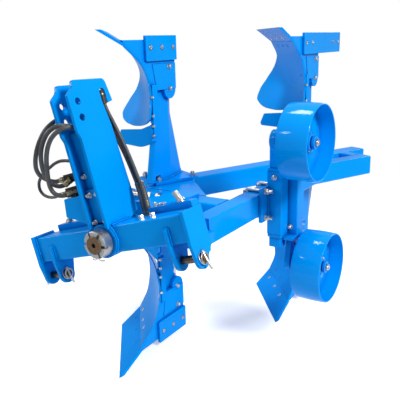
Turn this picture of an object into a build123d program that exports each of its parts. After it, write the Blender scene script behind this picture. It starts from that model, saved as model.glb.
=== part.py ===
"""Two-furrow mounted reversible plough, millimetres, +Z up.

While it is modelled, X points to the land side, Y rearwards, and the zero
point is on the floor straight below the turnover shaft's axis, at the middle
of the headstock's crossbar. The pieces are moved at the end, so that the
written frame has its origin in the middle of the plan, on the floor.
"""
from build123d import *
from math import atan2, cos, hypot, pi, radians, sin, tan
import os

os.makedirs("parts", exist_ok=True)

# ---------------------------------------------------------------- driving sizes
SHAFT_Z = 735.0          # turnover shaft's axis, the frame's middle plane
FURROW = 370.0           # furrow width of one body
SPACING = 810.0          # body spacing along the travel
HITCH_ROLL = 16.0        # the headstock leans with the tractor, degrees

BEAM = 100.0             # main beam, crossbar and cross member, square tube
WALL = 8.0               # their wall
TUBE_CORNER = 8.0        # their outer corner radius
SIDE_BEAM_W = 80.0       # land-side beam, width
STEEL = 12.0             # plain plate
SEAT = 0.3               # gap of pieces that rest on each other over curved faces
RUN_CLEAR = 0.05         # radial clearance of a running fit

SHAFT_D = 60.0           # turnover shaft
SHAFT_FRONT = -114.0     # its front end
SHAFT_REAR = 300.0
NUT_D = 102.0            # castellated shaft nut
NUT_L = 46.0
NUT_FRONT = -109.0
CASTLE_DEPTH = 17.0      # its slots
CASTLE_SLOTS = 6
CASTLE_W = 11.0
HUB_D = 124.0            # headstock's hub tube
HUB_FRONT = -62.0
HUB_L = 172.0

PIN_D = 28.0             # lower link pins
PIN_GAUGE = 661.0        # middle of one lower link gap to the other
LINK_GAP = 75.0          # clear gap between two ears
TOP_PIN_D = 25.7         # top link bores
MAST_GAP = 68.0          # clear gap between the mast plates
MAST_TOP = 575.0         # mast's height above the shaft's axis

LANDSIDE_X = -174.0      # outer face of the front body's landside
TIP_Y = 162.0            # front share's point
LEG_SET = 32.0           # landside's outer face to the leg's face
LEG_T = 30.0             # leg's thickness
SHARE_T = 12.0
BOARD_T = 8.0

WHEEL_R = 155.0
WHEEL_W = 130.0
WHEEL_X = 561.0          # outer rim's plane
WHEEL_SHELL = 6.0
AXLE_D = 40.0
UPPER_AXLE = (594.0, SHAFT_Z + 292.0)
LOWER_AXLE = (758.0, SHAFT_Z - 283.0)

MU = atan2(FURROW, SPACING)                 # main beam's angle to the travel
ROLL = radians(HITCH_ROLL)

pieces = {}


def main_beam_plane(s, n, z):
    """X runs along the main beam, Y across it to the furrow side, Z up."""
    x = n * cos(MU) + s * sin(MU)
    y = -n * sin(MU) + s * cos(MU)
    return Plane(origin=(x, y, z), x_dir=(sin(MU), cos(MU), 0), z_dir=(0, 0, 1))


def hitch_plane(t, y, v, normal="t"):
    """A plane in the leaning headstock: t across, y rearwards, v up the mast."""
    o = (t * cos(ROLL) - v * sin(ROLL), y, SHAFT_Z + t * sin(ROLL) + v * cos(ROLL))
    t_dir = (cos(ROLL), 0, sin(ROLL))
    v_dir = (-sin(ROLL), 0, cos(ROLL))
    if normal == "t":
        return Plane(origin=o, x_dir=(0, 1, 0), z_dir=t_dir)
    if normal == "y":
        return Plane(origin=o, x_dir=t_dir, z_dir=(0, -1, 0))
    return Plane(origin=o, x_dir=t_dir, z_dir=v_dir)


def cross_plane(x, y, z):
    """A plane that faces the land side, X rearwards and Y up."""
    return Plane(origin=(x, y, z), x_dir=(0, 1, 0), z_dir=(1, 0, 0))


def travel_plane(y, x=0.0, z=SHAFT_Z):
    """A plane across the travel that faces rearwards."""
    return Plane(origin=(x, y, z), x_dir=(1, 0, 0), z_dir=(0, 1, 0))


def keep(name, builder):
    """Puts a finished piece on the list of nodes."""
    pieces[name] = builder


# ================================================================ headstock
EAR_T = STEEL
EAR_IN = PIN_GAUGE / 2 - LINK_GAP / 2       # inner ear's face at the gap
EAR_OUT = PIN_GAUGE / 2 + LINK_GAP / 2      # outer ear's face at the gap
PIN_Y, PIN_V = -19.0, -112.0                # lower link pin's axis
EAR_R = 36.0
EAR_FRONT = -64.0
LUG_T0, LUG_T1 = 150.0, 340.0               # turnover stop lugs
LUG_V0, LUG_V1 = 18.0, 74.0
LUG_DEPTH = 40.0

with BuildPart() as headstock_crossbar:
    with BuildSketch(hitch_plane(-EAR_OUT, 0, 0)):
        RectangleRounded(BEAM, BEAM, TUBE_CORNER)
        Rectangle(BEAM - 2 * WALL, BEAM - 2 * WALL, mode=Mode.SUBTRACT)
    extrude(amount=2 * EAR_OUT)
    with BuildSketch(hitch_plane(0, HUB_FRONT, 0, "y")):
        Circle(HUB_D / 2)
    extrude(amount=-HUB_L)
    with BuildSketch(hitch_plane(0, HUB_FRONT, 0, "y")):
        Circle(SHAFT_D / 2 + RUN_CLEAR)
    extrude(amount=-HUB_L, mode=Mode.SUBTRACT)
    for side in (-1, 1):
        middle = side * (LUG_T0 + LUG_T1) / 2
        with BuildSketch(hitch_plane(middle, (BEAM + LUG_DEPTH) / 2, LUG_V0, "v")):
            Rectangle(LUG_T1 - LUG_T0, LUG_DEPTH)
        extrude(amount=LUG_V1 - LUG_V0)
keep("headstock_crossbar", headstock_crossbar)

# side, sign of t
for side, sign in (("left", 1), ("right", -1)):
    with BuildPart() as ears:
        # inner face at the tube's end or at the gap, is it the outer ear
        for face, outer in ((EAR_OUT, True), (EAR_IN - EAR_T, False)):
            start = face if sign > 0 else -face - EAR_T
            with BuildSketch(hitch_plane(start, 0, 0)):
                with BuildLine():
                    if outer:
                        Polyline((EAR_FRONT, 58), (47, 58), (47, -84), (PIN_Y + EAR_R, PIN_V),
                                 (PIN_Y - EAR_R, PIN_V), (EAR_FRONT, -60), close=True)
                    else:
                        Polyline((EAR_FRONT, 4), (-BEAM / 2, 15), (-BEAM / 2, -BEAM / 2), (36, -BEAM / 2),
                                 (PIN_Y + EAR_R, PIN_V), (PIN_Y - EAR_R, PIN_V), (EAR_FRONT, -60),
                                 close=True)
                make_face()
                with Locations((PIN_Y, PIN_V)):
                    Circle(EAR_R)
            extrude(amount=EAR_T)
        with BuildSketch(hitch_plane(-EAR_OUT - 2 * EAR_T, PIN_Y, PIN_V)):
            Circle(PIN_D / 2 + RUN_CLEAR)
        extrude(amount=2 * EAR_OUT + 4 * EAR_T, mode=Mode.SUBTRACT)
    keep("lower_link_ears_" + side, ears)

PIN_TAIL = 10.0          # pin beyond each ear
COLLAR_T = 6.0
with BuildPart() as lower_link_pins:
    for sign in (-1, 1):
        lo, hi = EAR_IN - EAR_T - PIN_TAIL, EAR_OUT + EAR_T + PIN_TAIL
        with BuildSketch(hitch_plane(lo if sign > 0 else -hi, PIN_Y, PIN_V)):
            Circle(PIN_D / 2)
        extrude(amount=hi - lo)
        for a in (EAR_OUT + EAR_T + SEAT, EAR_IN - EAR_T - COLLAR_T - SEAT):
            with BuildSketch(hitch_plane(a if sign > 0 else -a - COLLAR_T, PIN_Y, PIN_V)):
                Circle(PIN_D / 2 + 7)
            extrude(amount=COLLAR_T)
keep("lower_link_pins", lower_link_pins)

MAST_OUT = MAST_GAP / 2 + STEEL
FACE = BEAM / 2 + 0.2                       # mast plates' seat on the crossbar
SLOT_Y0, SLOT_Y1, SLOT_TOP = 84.0, 112.0, 535.0   # coupler slot at the mast's rear
# y, v and corner radius of a mast plate's outline
MAST = [(-68, 8, 3), (-68, 372, 18), (-78, 396, 18), (-78, 526, 5), (-46, 550, 22), (-36, MAST_TOP, 8),
        (126, 571, 20), (140, 486, 3), (SLOT_Y1, 480, 3), (SLOT_Y1, SLOT_TOP, 13), (SLOT_Y0, SLOT_TOP, 13),
        (SLOT_Y0, 490, 8), (99, 400, 40), (112, 120, 20), (112, 70, 6), (62, FACE, 4), (-FACE, FACE, 1),
        (-FACE, 8, 1)]
with BuildPart() as mast_plates:
    for start in (-MAST_OUT, MAST_GAP / 2):
        with BuildSketch(hitch_plane(start, 0, 0)):
            with BuildLine():
                FilletPolyline(*[(y, v) for y, v, r in MAST], radius=[r for y, v, r in MAST], close=True)
            make_face()
            with Locations((-36, 500), (-36, 443)):
                Circle(TOP_PIN_D / 2, mode=Mode.SUBTRACT)
        extrude(amount=STEEL)
    with BuildSketch(hitch_plane(0, HUB_FRONT - 20, 0, "y")):
        Circle(HUB_D / 2 + 0.2)
    extrude(amount=-HUB_L - 40, mode=Mode.SUBTRACT)
    # folded bracket for the valve on the furrow-side plate
    with BuildSketch(hitch_plane(0, -62, 0, "y")):
        with BuildLine():
            Polyline((-MAST_OUT, 70), (-MAST_OUT, 178), (-134, 178), (-148, 112), (-95, 92), close=True)
        make_face()
    extrude(amount=-6)
    with BuildSketch(hitch_plane(0, -62, 0, "y")):
        with BuildLine():
            Polyline((-MAST_OUT, 172), (-MAST_OUT, 178), (-134, 178), (-132.7, 172), close=True)
        make_face()
    extrude(amount=-60)
keep("mast_plates", mast_plates)

WEB_Y = -34.0            # front web's face
WEB_TOP = 398.0          # the hoses pass over it
REAR_WEB_Y = 94.0        # rear web's rear face
# ---- turnover cylinder, behind the mast plates
CYL_Y = 137.0
CYL_TOP_V = 395.0
CYL_R = 21.0
ROD_R = 12.5
EYE_R = 22.0
EYE_T = 24.0
CRANK_R = 70.0
CRANK_A = radians(90 - HITCH_ROLL)           # crank pin's place, from the mast's line
CRANK_T, CRANK_V = -CRANK_R * sin(CRANK_A), CRANK_R * cos(CRANK_A)
CYL_LEN = hypot(CRANK_T, CYL_TOP_V - CRANK_V)
ROD_DIR = (CRANK_T / CYL_LEN, (CRANK_V - CYL_TOP_V) / CYL_LEN)
BARREL_END = 200.0
EYE_PIN_R = 10.0
ROD_PIN_R = 13.0


def cylinder_plane(d):
    """Across the cylinder's axis, d below its top pin."""
    t, v = ROD_DIR[0] * d, CYL_TOP_V + ROD_DIR[1] * d
    p = hitch_plane(t, CYL_Y, v).origin
    x, z = ROD_DIR
    axis = (x * cos(ROLL) - z * sin(ROLL), 0, x * sin(ROLL) + z * cos(ROLL))
    return Plane(origin=p, x_dir=(0, 1, 0), z_dir=axis)


with BuildPart() as mast_web:
    with BuildSketch(hitch_plane(-MAST_GAP / 2, 0, 0)):
        with BuildLine():
            Polyline((WEB_Y, 165), (WEB_Y, 300), (WEB_Y - 8, WEB_TOP), (WEB_Y + 2, WEB_TOP),
                     (WEB_Y + 10, 300), (WEB_Y + 10, 165), close=True)
        make_face()
    extrude(amount=MAST_GAP)
    with BuildSketch(hitch_plane(0, REAR_WEB_Y - 10, 0, "y")):
        with Locations((0, 290)):
            Rectangle(MAST_GAP, 350)
    extrude(amount=-10)
    # the cylinder's top pin: boss, pin and washer, as radius, from y, to y
    for r, y0, y1 in ((EYE_R, REAR_WEB_Y, CYL_Y - EYE_T / 2 - SEAT),
                      (EYE_PIN_R, REAR_WEB_Y, CYL_Y + EYE_T / 2 + 8),
                      (EYE_PIN_R + 4, CYL_Y + EYE_T / 2 + SEAT, CYL_Y + EYE_T / 2 + SEAT + 4)):
        with BuildSketch(hitch_plane(0, y0, CYL_TOP_V, "y")):
            Circle(r)
        extrude(amount=y0 - y1)
keep("mast_web", mast_web)

with BuildPart() as mast_cover:
    with BuildSketch(hitch_plane(0, WEB_Y - 10, 0, "y")):
        with Locations((0, 129)):
            RectangleRounded(MAST_GAP - 2, 124, 3)
    extrude(amount=-10 + 0.05)
keep("mast_cover", mast_cover)

with BuildPart() as cylinder_barrel:
    with BuildSketch(hitch_plane(0, CYL_Y - EYE_T / 2, CYL_TOP_V, "y")):
        Circle(EYE_R)
    extrude(amount=-EYE_T)
    # from, length, radius along the barrel: neck, tube, end cap, gland
    for start, length, radius in ((12, 16, 11), (26, BARREL_END - 26, CYL_R), (26, 14, CYL_R + 2),
                                  (176, 24, CYL_R + 2)):
        with BuildSketch(cylinder_plane(start)):
            Circle(radius)
        extrude(amount=length)
    for d in (36, 164):
        with BuildSketch(cylinder_plane(d)):
            with Locations((-CYL_R - 2, 0)):
                Rectangle(10, 16)
        extrude(amount=16)
    with BuildSketch(cylinder_plane(120)):
        Circle(ROD_R + RUN_CLEAR)
    extrude(amount=BARREL_END - 120 + 5, mode=Mode.SUBTRACT)
    with BuildSketch(hitch_plane(0, CYL_Y - 20, CYL_TOP_V, "y")):
        Circle(EYE_PIN_R + RUN_CLEAR)
    extrude(amount=-40, mode=Mode.SUBTRACT)
keep("cylinder_barrel", cylinder_barrel)

with BuildPart() as cylinder_rod:
    with BuildSketch(cylinder_plane(BARREL_END - 10)):
        Circle(ROD_R)
    extrude(amount=CYL_LEN - BARREL_END - 6)
    with BuildSketch(hitch_plane(CRANK_T, CYL_Y - EYE_T / 2, CRANK_V, "y")):
        Circle(EYE_R)
        Circle(ROD_PIN_R + RUN_CLEAR, mode=Mode.SUBTRACT)
    extrude(amount=-EYE_T)
    # the pin in the eye: head and shank, as radius, from y, to y
    for r, y0, y1 in ((ROD_PIN_R + 4, CYL_Y - EYE_T / 2 - 4, CYL_Y - EYE_T / 2),
                      (ROD_PIN_R, CYL_Y - EYE_T / 2 - 4, CYL_Y + EYE_T / 2 + 2)):
        with BuildSketch(hitch_plane(CRANK_T, y0, CRANK_V, "y")):
            Circle(r)
        extrude(amount=y0 - y1)
keep("cylinder_rod", cylinder_rod)

# ---- valve blocks, fittings, parked coupler and hoses
VALVE_Y0, VALVE_Y1 = -20.0, 30.0
TOP_END, LOW_END = -150.0, -160.0            # the blocks' outer ends
HOSE_D, THIN_D, REAR_D = 17.0, 12.0, 14.0
BRACKET_TOP = 178.0
with BuildPart() as valve_blocks:
    # outer end, middle y, underside and top
    for end, v0, v1 in ((TOP_END, 232, 264), (LOW_END, BRACKET_TOP, 214)):
        with BuildSketch(hitch_plane(end, (VALVE_Y0 + VALVE_Y1) / 2, (v0 + v1) / 2)):
            Rectangle(VALVE_Y1 - VALVE_Y0, v1 - v0)
        extrude(amount=-MAST_OUT - end)
    with BuildSketch(hitch_plane(-MAST_OUT - 60, 5, 223)):
        Rectangle(34, 18)
    extrude(amount=60)
keep("valve_blocks", valve_blocks)

# name, diameter, route through the headstock in t, y, v
HOSES = [
    ("hose_loop_outer", HOSE_D, [
        (-9, 44, 400), (-8, 6, 404), (-4, -34, 413), (-9, -72, 430), (-30, -98, 436), (-61, -110, 425),
        (-93, -112, 402), (-124, -107, 375), (-150, -98, 345), (-173, -84, 314), (-187, -72, 286),
        (-191, -60, 258), (-179, -49, 238), (-161, -41, 227), (-140, -31, 228)]),
    ("hose_loop_inner", HOSE_D, [
        (15, 44, 400), (16, 6, 404), (20, -34, 413), (14, -72, 422), (-6, -103, 421), (-38, -121, 404),
        (-68, -125, 375), (-94, -121, 342), (-116, -112, 310), (-137, -101, 281), (-157, -88, 257),
        (-172, -76, 236), (-174, -69, 216), (-163, -65, 201), (-143, -61, 193), (-123, -54, 192)]),
    ("hose_side", HOSE_D, [
        (-62, 64, 462), (-64, 26, 468), (-72, -13, 468), (-90, -47, 458), (-118, -70, 438),
        (-149, -80, 408), (-180, -82, 375), (-210, -75, 342), (-235, -62, 312), (-246, -44, 284),
        (-230, -26, 260), (-206, -14, 247), (-182, -8, 248)]),
    ("hose_pilot", THIN_D, [
        (-58, -40, 304), (-90, -38, 313), (-124, -36, 318), (-160, -32, 315), (-198, -27, 305),
        (-237, -22, 294), (-274, -16, 280), (-303, -11, 259), (-313, -8, 231), (-299, -7, 207),
        (-272, -6, 194), (-242, -6, 190), (-214, -6, 194)]),
    ("hose_rear_outer", REAR_D, [
        (40, 98, 478), (42, 103, 444), (45, 112, 408), (49.5, 119, 367), (57, 122, 324), (68, 120, 281),
        (80, 114, 239), (93, 106, 197), (106, 98, 158), (116, 89, 126), (122, 84, 100)]),
    ("hose_rear_inner", REAR_D, [
        (27, 106, 436), (30, 113, 400), (32.5, 119, 360), (40, 122, 318), (51, 121, 276), (63, 116, 234),
        (76, 108, 194), (89, 99, 156), (99, 90, 125), (104, 84, 100)]),
]


def corner_radii(points):
    """Each arc takes 0.45 of its shorter run, divided by the tangent of half its turn."""
    radii = []
    for a, b, c in zip(points, points[1:], points[2:]):
        p, q = b - a, c - b
        radii.append(0.45 * min(p.length, q.length) / tan(radians(p.get_angle(q)) / 2))
    return radii


def hitch_point(t, y, v):
    """The point itself instead of a plane there."""
    return hitch_plane(t, y, v).origin


for name, d, route in HOSES:
    points = [hitch_point(*p) for p in route]
    radii = corner_radii(points)
    with BuildPart() as hose:
        with BuildLine() as middle:
            FilletPolyline(*points, radius=radii)
        with BuildSketch(Plane(origin=points[0], z_dir=points[1] - points[0])):
            Circle(d / 2)
        sweep(path=middle.wires()[0])
    length = middle.wires()[0].length
    print(name, "length", round(length), "volume ratio",
          round(hose.part.volume / (length * pi * d * d / 4), 4), "radii", [round(r) for r in radii])
    keep(name, hose)

SWAGE_L = 34.0           # crimped sleeve on a hose's end
NUT_ON_HOSE = 14.0
REAR_FOOT_V = 46.0


def hose_end(t, y, v, d, direction, length):
    """Crimped sleeve and swivel nut from a hose's end to its port."""
    x, up = direction[0], direction[2]
    axis = Vector(x * cos(ROLL) - up * sin(ROLL), direction[1], x * sin(ROLL) + up * cos(ROLL)).normalized()
    start = hitch_point(t, y, v)
    with BuildPart() as end:
        with BuildSketch(Plane(origin=start, z_dir=axis)):
            Circle(d / 2 + 3)
        extrude(amount=length * 0.55)
        with BuildSketch(Plane(origin=start + axis * (length * 0.55), z_dir=axis)):
            Circle(d / 2 - 1)
        extrude(amount=length * 0.12)
        with BuildSketch(Plane(origin=start + axis * (length * 0.67), z_dir=axis)):
            RegularPolygon(d / 2 + 5, 6)
        extrude(amount=length * 0.33)
    return end.part


with BuildPart() as hose_fittings:
    # at the hose's end: t, y, v, hose diameter, direction in t, y, v, length to the port
    for t, y, v, d, direction, length in (
            (-140, -31, 228, HOSE_D, (0.85, 0.3, 0.45), 35),
            (-123, -54, 192, HOSE_D, (0.6, 0.78, 0.05), 44),
            (-182, -8, 248, HOSE_D, (1, 0.1, 0), 32),
            (-214, -6, 194, THIN_D, (1, 0, 0), 54),
            (-9, 44, 400, HOSE_D, (0, 1, 0), REAR_WEB_Y - 10 - 44),
            (15, 44, 400, HOSE_D, (0, 1, 0), REAR_WEB_Y - 10 - 44),
            (-58, -40, 304, THIN_D, (1, 0, 0), 12),
            (122, 84, 100, REAR_D, (0, 0, -1), 100 - REAR_FOOT_V),
            (104, 84, 100, REAR_D, (0, 0, -1), 100 - REAR_FOOT_V)):
        add(hose_end(t, y, v, d, direction, length))
    # banjo blocks: on the mast's side, on its rear web and on the crossbar
    with BuildSketch(hitch_plane(-73, 75, 462)):
        Rectangle(22, 24)
    extrude(amount=73 - MAST_OUT)
    with BuildSketch(hitch_plane(27, REAR_WEB_Y, 448, "y")):
        Rectangle(18, 24)
    extrude(amount=-20)
    with BuildSketch(hitch_plane(113, 73, REAR_FOOT_V - 24, "v")):
        Rectangle(44, 46)
    extrude(amount=24)
    # the parked coupler in the mast plate's slot
    y = (SLOT_Y0 + SLOT_Y1) / 2
    # from, to, radius up the coupler: sleeve on the hose, nut, body, dust cap
    for v0, v1, radius in ((478, 492, 10.5), (492, 504, 12), (504, 522, 10), (522, SLOT_TOP - 6, 8)):
        with BuildSketch(hitch_plane(40, y, v0, "v")):
            Circle(radius)
        extrude(amount=v1 - v0)
    with BuildSketch(hitch_plane(MAST_GAP / 2 - 6, y, 0)):
        with Locations((0, 510)):
            Circle(17)
    extrude(amount=6)
    for name, d, route in HOSES:
        add(pieces[name].part, mode=Mode.SUBTRACT)
    add(valve_blocks.part, mode=Mode.SUBTRACT)
keep("hose_fittings", hose_fittings)

with BuildPart() as stop_screws:
    for sign in (-1, 1):
        for t0, r, a, b in ((287.0, 16.0, 0, 8), (287.0, 11.0, -6, 42)):
            foot = hitch_point(sign * t0, 50 + LUG_DEPTH / 2, LUG_V1)
            lean = radians(28)
            tt, vv = -sign * sin(lean), cos(lean)
            axis = Vector(tt * cos(ROLL) - vv * sin(ROLL), 0, tt * sin(ROLL) + vv * cos(ROLL))
            with BuildSketch(Plane(origin=foot + axis * a, z_dir=axis)):
                Circle(r)
            extrude(amount=b - a)
    for sign in (-1, 1):
        with BuildSketch(hitch_plane(sign * 287.0, 50 + LUG_DEPTH / 2, LUG_V1 - 30, "v")):
            Rectangle(60, 60)
        extrude(amount=30, mode=Mode.SUBTRACT)
keep("stop_screws", stop_screws)

# ================================================================ turning frame
with BuildPart() as turnover_shaft:
    with BuildSketch(travel_plane(SHAFT_FRONT)):
        Circle(SHAFT_D / 2)
    extrude(amount=SHAFT_REAR - SHAFT_FRONT)
    with BuildSketch(travel_plane(SHAFT_FRONT)):
        Circle(9)
    extrude(amount=16, mode=Mode.SUBTRACT)
    chamfer(turnover_shaft.edges().filter_by(GeomType.CIRCLE).sort_by(Axis.Y).group_by(Axis.Y)[0]
            .sort_by(SortBy.RADIUS)[-1], length=2.5)
keep("turnover_shaft", turnover_shaft)

with BuildPart() as castle_nut:
    with BuildSketch(travel_plane(NUT_FRONT)):
        Circle(NUT_D / 2)
        Circle(SHAFT_D / 2, mode=Mode.SUBTRACT)
    extrude(amount=NUT_L)
    chamfer(castle_nut.edges().filter_by(GeomType.CIRCLE).sort_by(SortBy.RADIUS)[-2:], length=4)
    with BuildSketch(travel_plane(NUT_FRONT)):
        with PolarLocations(0, CASTLE_SLOTS):
            with Locations((NUT_D / 4 + 10, 0)):
                Rectangle(NUT_D / 2, CASTLE_W)
    extrude(amount=CASTLE_DEPTH, mode=Mode.SUBTRACT)
keep("castle_nut", castle_nut)

YOKE_Y0, YOKE_T = 156.0, 24.0
YOKE_R = 95.0
BOSS_R = 52.0
CROSS_Y0, CROSS_Y1 = 388.0, 488.0            # cross tube, front and rear face
CROSS_X0 = -240.0
SIDE_X = 286.0                               # side beam's outer face
ARM_W = 40.0                                 # stop arm's height
ARM_END = 320.0
CHEEK_T = 16.0                               # yoke's top and bottom plates
crank_x = CRANK_T * cos(ROLL) - CRANK_V * sin(ROLL)
crank_z = CRANK_T * sin(ROLL) + CRANK_V * cos(ROLL)
with BuildPart() as yoke_hub:
    with BuildSketch(travel_plane(YOKE_Y0)):
        Circle(YOKE_R)
        with Locations((ARM_END / 2, 0)):
            Rectangle(ARM_END, ARM_W)
        with Locations((crank_x, -crank_z)):
            Circle(30)
        Circle(SHAFT_D / 2, mode=Mode.SUBTRACT)
    extrude(amount=YOKE_T)
    with BuildSketch(travel_plane(YOKE_Y0)):
        Circle(BOSS_R)
        Circle(SHAFT_D / 2, mode=Mode.SUBTRACT)
    extrude(amount=SHAFT_REAR - YOKE_Y0)
    # stop block at the arm's end, which reaches forward below the headstock's lug
    with BuildSketch(travel_plane(YOKE_Y0)):
        with Locations(((ARM_END + 250) / 2, 0)):
            Rectangle(ARM_END - 250, ARM_W)
    extrude(amount=-86)
    # foot that carries the side beam's front end
    with BuildSketch(travel_plane(YOKE_Y0 + YOKE_T)):
        with Locations((SIDE_X - SIDE_BEAM_W / 2, 0)):
            Rectangle(SIDE_BEAM_W + 24, BEAM + 24)
    extrude(amount=8)
    for z in (SHAFT_Z - BEAM / 2 - CHEEK_T, SHAFT_Z + BEAM / 2):
        with BuildSketch(Plane.XY.offset(z)):
            with BuildLine():
                FilletPolyline((-70, YOKE_Y0 + 4), (8, YOKE_Y0 + 4), (44, 300), (76, CROSS_Y0 + 9),
                               (76, CROSS_Y1 - 18), (-48, CROSS_Y1 - 18), (-48, 345), (-92, 300),
                               close=True, radius=[2, 2, 60, 12, 14, 14, 10, 12])
            make_face()
        extrude(amount=CHEEK_T)
keep("yoke_hub", yoke_hub)

CLAMP_L, CLAMP_W, CLAMP_T = 231.0, 160.0, 16.0
CLAMP_S = 512.0          # clamp plate's middle along the beam
BOLT_S, BOLT_N = 92.0, 65.0                  # its bolts' places from the middle
BOLT_R = 9.0
MAIN_N = -482.0          # main beam's axis
MAIN_S0, MAIN_S1 = 400.0, 1803.0
DRAIN_R = 12.0
SPINDLE_Y, SPINDLE_Z = 368.0, SHAFT_Z + 56.0
SPINDLE_R = 10.0
SPINDLE_EYES = ((-247.0, -223.0), (-102.0, -78.0))
with BuildPart() as cross_member:
    with BuildSketch(cross_plane(CROSS_X0, (CROSS_Y0 + CROSS_Y1) / 2, SHAFT_Z)):
        RectangleRounded(BEAM, BEAM, TUBE_CORNER)
        Rectangle(BEAM - 2 * WALL, BEAM - 2 * WALL, mode=Mode.SUBTRACT)
    extrude(amount=SIDE_X - SIDE_BEAM_W - CROSS_X0)
    with BuildSketch(cross_plane(CROSS_X0, (CROSS_Y0 + CROSS_Y1) / 2, SHAFT_Z)):
        Rectangle(BEAM - WALL, BEAM - WALL)
        Circle(DRAIN_R, mode=Mode.SUBTRACT)
    extrude(amount=WALL)
    # gusset box between the tube and the main beam
    near = [main_beam_plane(s, MAIN_N + BEAM / 2, 0).origin for s in (MAIN_S0, MAIN_S0 + 210)]
    for z in (SHAFT_Z - BEAM / 2, SHAFT_Z + BEAM / 2 - STEEL):
        with BuildSketch(Plane.XY.offset(z)):
            with BuildLine():
                Polyline((-232, CROSS_Y1), (96, CROSS_Y1), (near[1].X, near[1].Y), (near[0].X, near[0].Y),
                         close=True)
            make_face()
        extrude(amount=STEEL)
    with BuildSketch(Plane.XY.offset(SHAFT_Z - BEAM / 2)):
        with BuildLine():
            Polyline((84, CROSS_Y1), (96, CROSS_Y1), (near[1].X, near[1].Y), (near[1].X - 5, near[1].Y - 11),
                     close=True)
        make_face()
    extrude(amount=BEAM)
    for x0, x1 in SPINDLE_EYES:
        with BuildSketch(cross_plane(x0, 0, 0)):
            with BuildLine():
                FilletPolyline((352, SHAFT_Z + 38), (CROSS_Y0 + 20, SHAFT_Z + 38),
                               (CROSS_Y0 + 20, SHAFT_Z + 62), (384, SHAFT_Z + 72), (352, SHAFT_Z + 72), close=True, radius=[3, 3, 3, 8, 14])
            make_face()
            with Locations((SPINDLE_Y, SPINDLE_Z)):
                Circle(SPINDLE_R, mode=Mode.SUBTRACT)
        extrude(amount=x1 - x0)
    for s in (CLAMP_S - BOLT_S, CLAMP_S + BOLT_S):
        with BuildSketch(main_beam_plane(s, MAIN_N + BOLT_N, SHAFT_Z - BEAM)):
            Circle(BOLT_R + 0.5)
        extrude(amount=2 * BEAM, mode=Mode.SUBTRACT)
keep("cross_member", cross_member)

with BuildPart() as width_spindle:
    with BuildSketch(cross_plane(-268, SPINDLE_Y, SPINDLE_Z)):
        Circle(SPINDLE_R)
    extrude(amount=210)
    for x in (-262, -222.9, -117, -77.9):
        with BuildSketch(cross_plane(x, SPINDLE_Y, SPINDLE_Z)):
            RegularPolygon(17, 6)
            Circle(SPINDLE_R, mode=Mode.SUBTRACT)
        extrude(amount=14.9)
keep("width_spindle", width_spindle)


with BuildPart() as main_beam:
    start = main_beam_plane(MAIN_S0, MAIN_N, SHAFT_Z).origin
    along = Vector(sin(MU), cos(MU), 0)
    with BuildSketch(Plane(origin=start, z_dir=along, x_dir=(cos(MU), -sin(MU), 0))):
        RectangleRounded(BEAM, BEAM, TUBE_CORNER)
        Rectangle(BEAM - 2 * WALL, BEAM - 2 * WALL, mode=Mode.SUBTRACT)
    extrude(amount=MAIN_S1 - MAIN_S0)
    for s in (MAIN_S0, MAIN_S1 - WALL):
        end = start + along * (s - MAIN_S0)
        with BuildSketch(Plane(origin=end, z_dir=along, x_dir=(cos(MU), -sin(MU), 0))):
            Rectangle(BEAM - WALL, BEAM - WALL)
            Circle(DRAIN_R, mode=Mode.SUBTRACT)
        extrude(amount=WALL)
keep("main_beam", main_beam)

SIDE_Y0, KINK_Y, SIDE_END = YOKE_Y0 + YOKE_T + 8.0, 1251.0, 410.0


def side_outline(inset, width):
    """Plan of the bent side beam, inset on all sides."""
    along, across = Vector(sin(MU), cos(MU)), Vector(-cos(MU), sin(MU))
    kink = Vector(SIDE_X, KINK_Y)
    half = tan(MU / 2)
    outer_kink = kink + Vector(-inset, inset * half)
    inner_kink = kink + Vector(-width + inset, (width - inset) * half)
    end = kink + along * (SIDE_END - inset)
    return [(SIDE_X - inset, SIDE_Y0 + inset), outer_kink, end + across * inset,
            end + across * (width - inset), inner_kink, (SIDE_X - width + inset, SIDE_Y0 + inset)]


with BuildPart() as side_beam:
    for inset, mode in ((0, Mode.ADD), (WALL, Mode.SUBTRACT)):
        with BuildSketch(Plane.XY.offset(SHAFT_Z - BEAM / 2 + inset)):
            with BuildLine():
                Polyline(*side_outline(inset, SIDE_BEAM_W), close=True)
            make_face()
        extrude(amount=BEAM - 2 * inset, mode=mode)
    fillet(side_beam.edges().filter_by(GeomType.LINE).filter_by(lambda e: e.length > 300)
           .filter_by(lambda e: abs(abs(e.center().Z - SHAFT_Z) - BEAM / 2) < 0.01), radius=TUBE_CORNER)
    with BuildSketch(Plane.XY.offset(SHAFT_Z - BEAM / 2 - 1)):
        with Locations((SIDE_X - SIDE_BEAM_W / 2, SIDE_Y0 + 60),
                       (SIDE_X - SIDE_BEAM_W / 2 + 60, KINK_Y + 180)):
            Circle(DRAIN_R)
    extrude(amount=WALL + 2, mode=Mode.SUBTRACT)
keep("side_beam", side_beam)

with BuildPart() as rear_tie:
    gap0 = MAIN_N + BEAM / 2
    gap1 = SIDE_X * cos(MU) - KINK_Y * sin(MU) - SIDE_BEAM_W
    tie_s = SIDE_X * sin(MU) + KINK_Y * cos(MU) + SIDE_END - 32
    at = main_beam_plane(tie_s, gap0, SHAFT_Z).origin
    with BuildSketch(Plane(origin=at, z_dir=(cos(MU), -sin(MU), 0), x_dir=(sin(MU), cos(MU), 0))):
        RectangleRounded(60, BEAM, TUBE_CORNER)
        Rectangle(60 - 2 * WALL, BEAM - 2 * WALL, mode=Mode.SUBTRACT)
    extrude(amount=gap1 - gap0)
    with BuildSketch(main_beam_plane(tie_s, (gap0 + gap1) / 2, SHAFT_Z - BEAM / 2 - 1)):
        Circle(DRAIN_R)
    extrude(amount=WALL + 2, mode=Mode.SUBTRACT)
keep("rear_tie", rear_tie)

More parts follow.
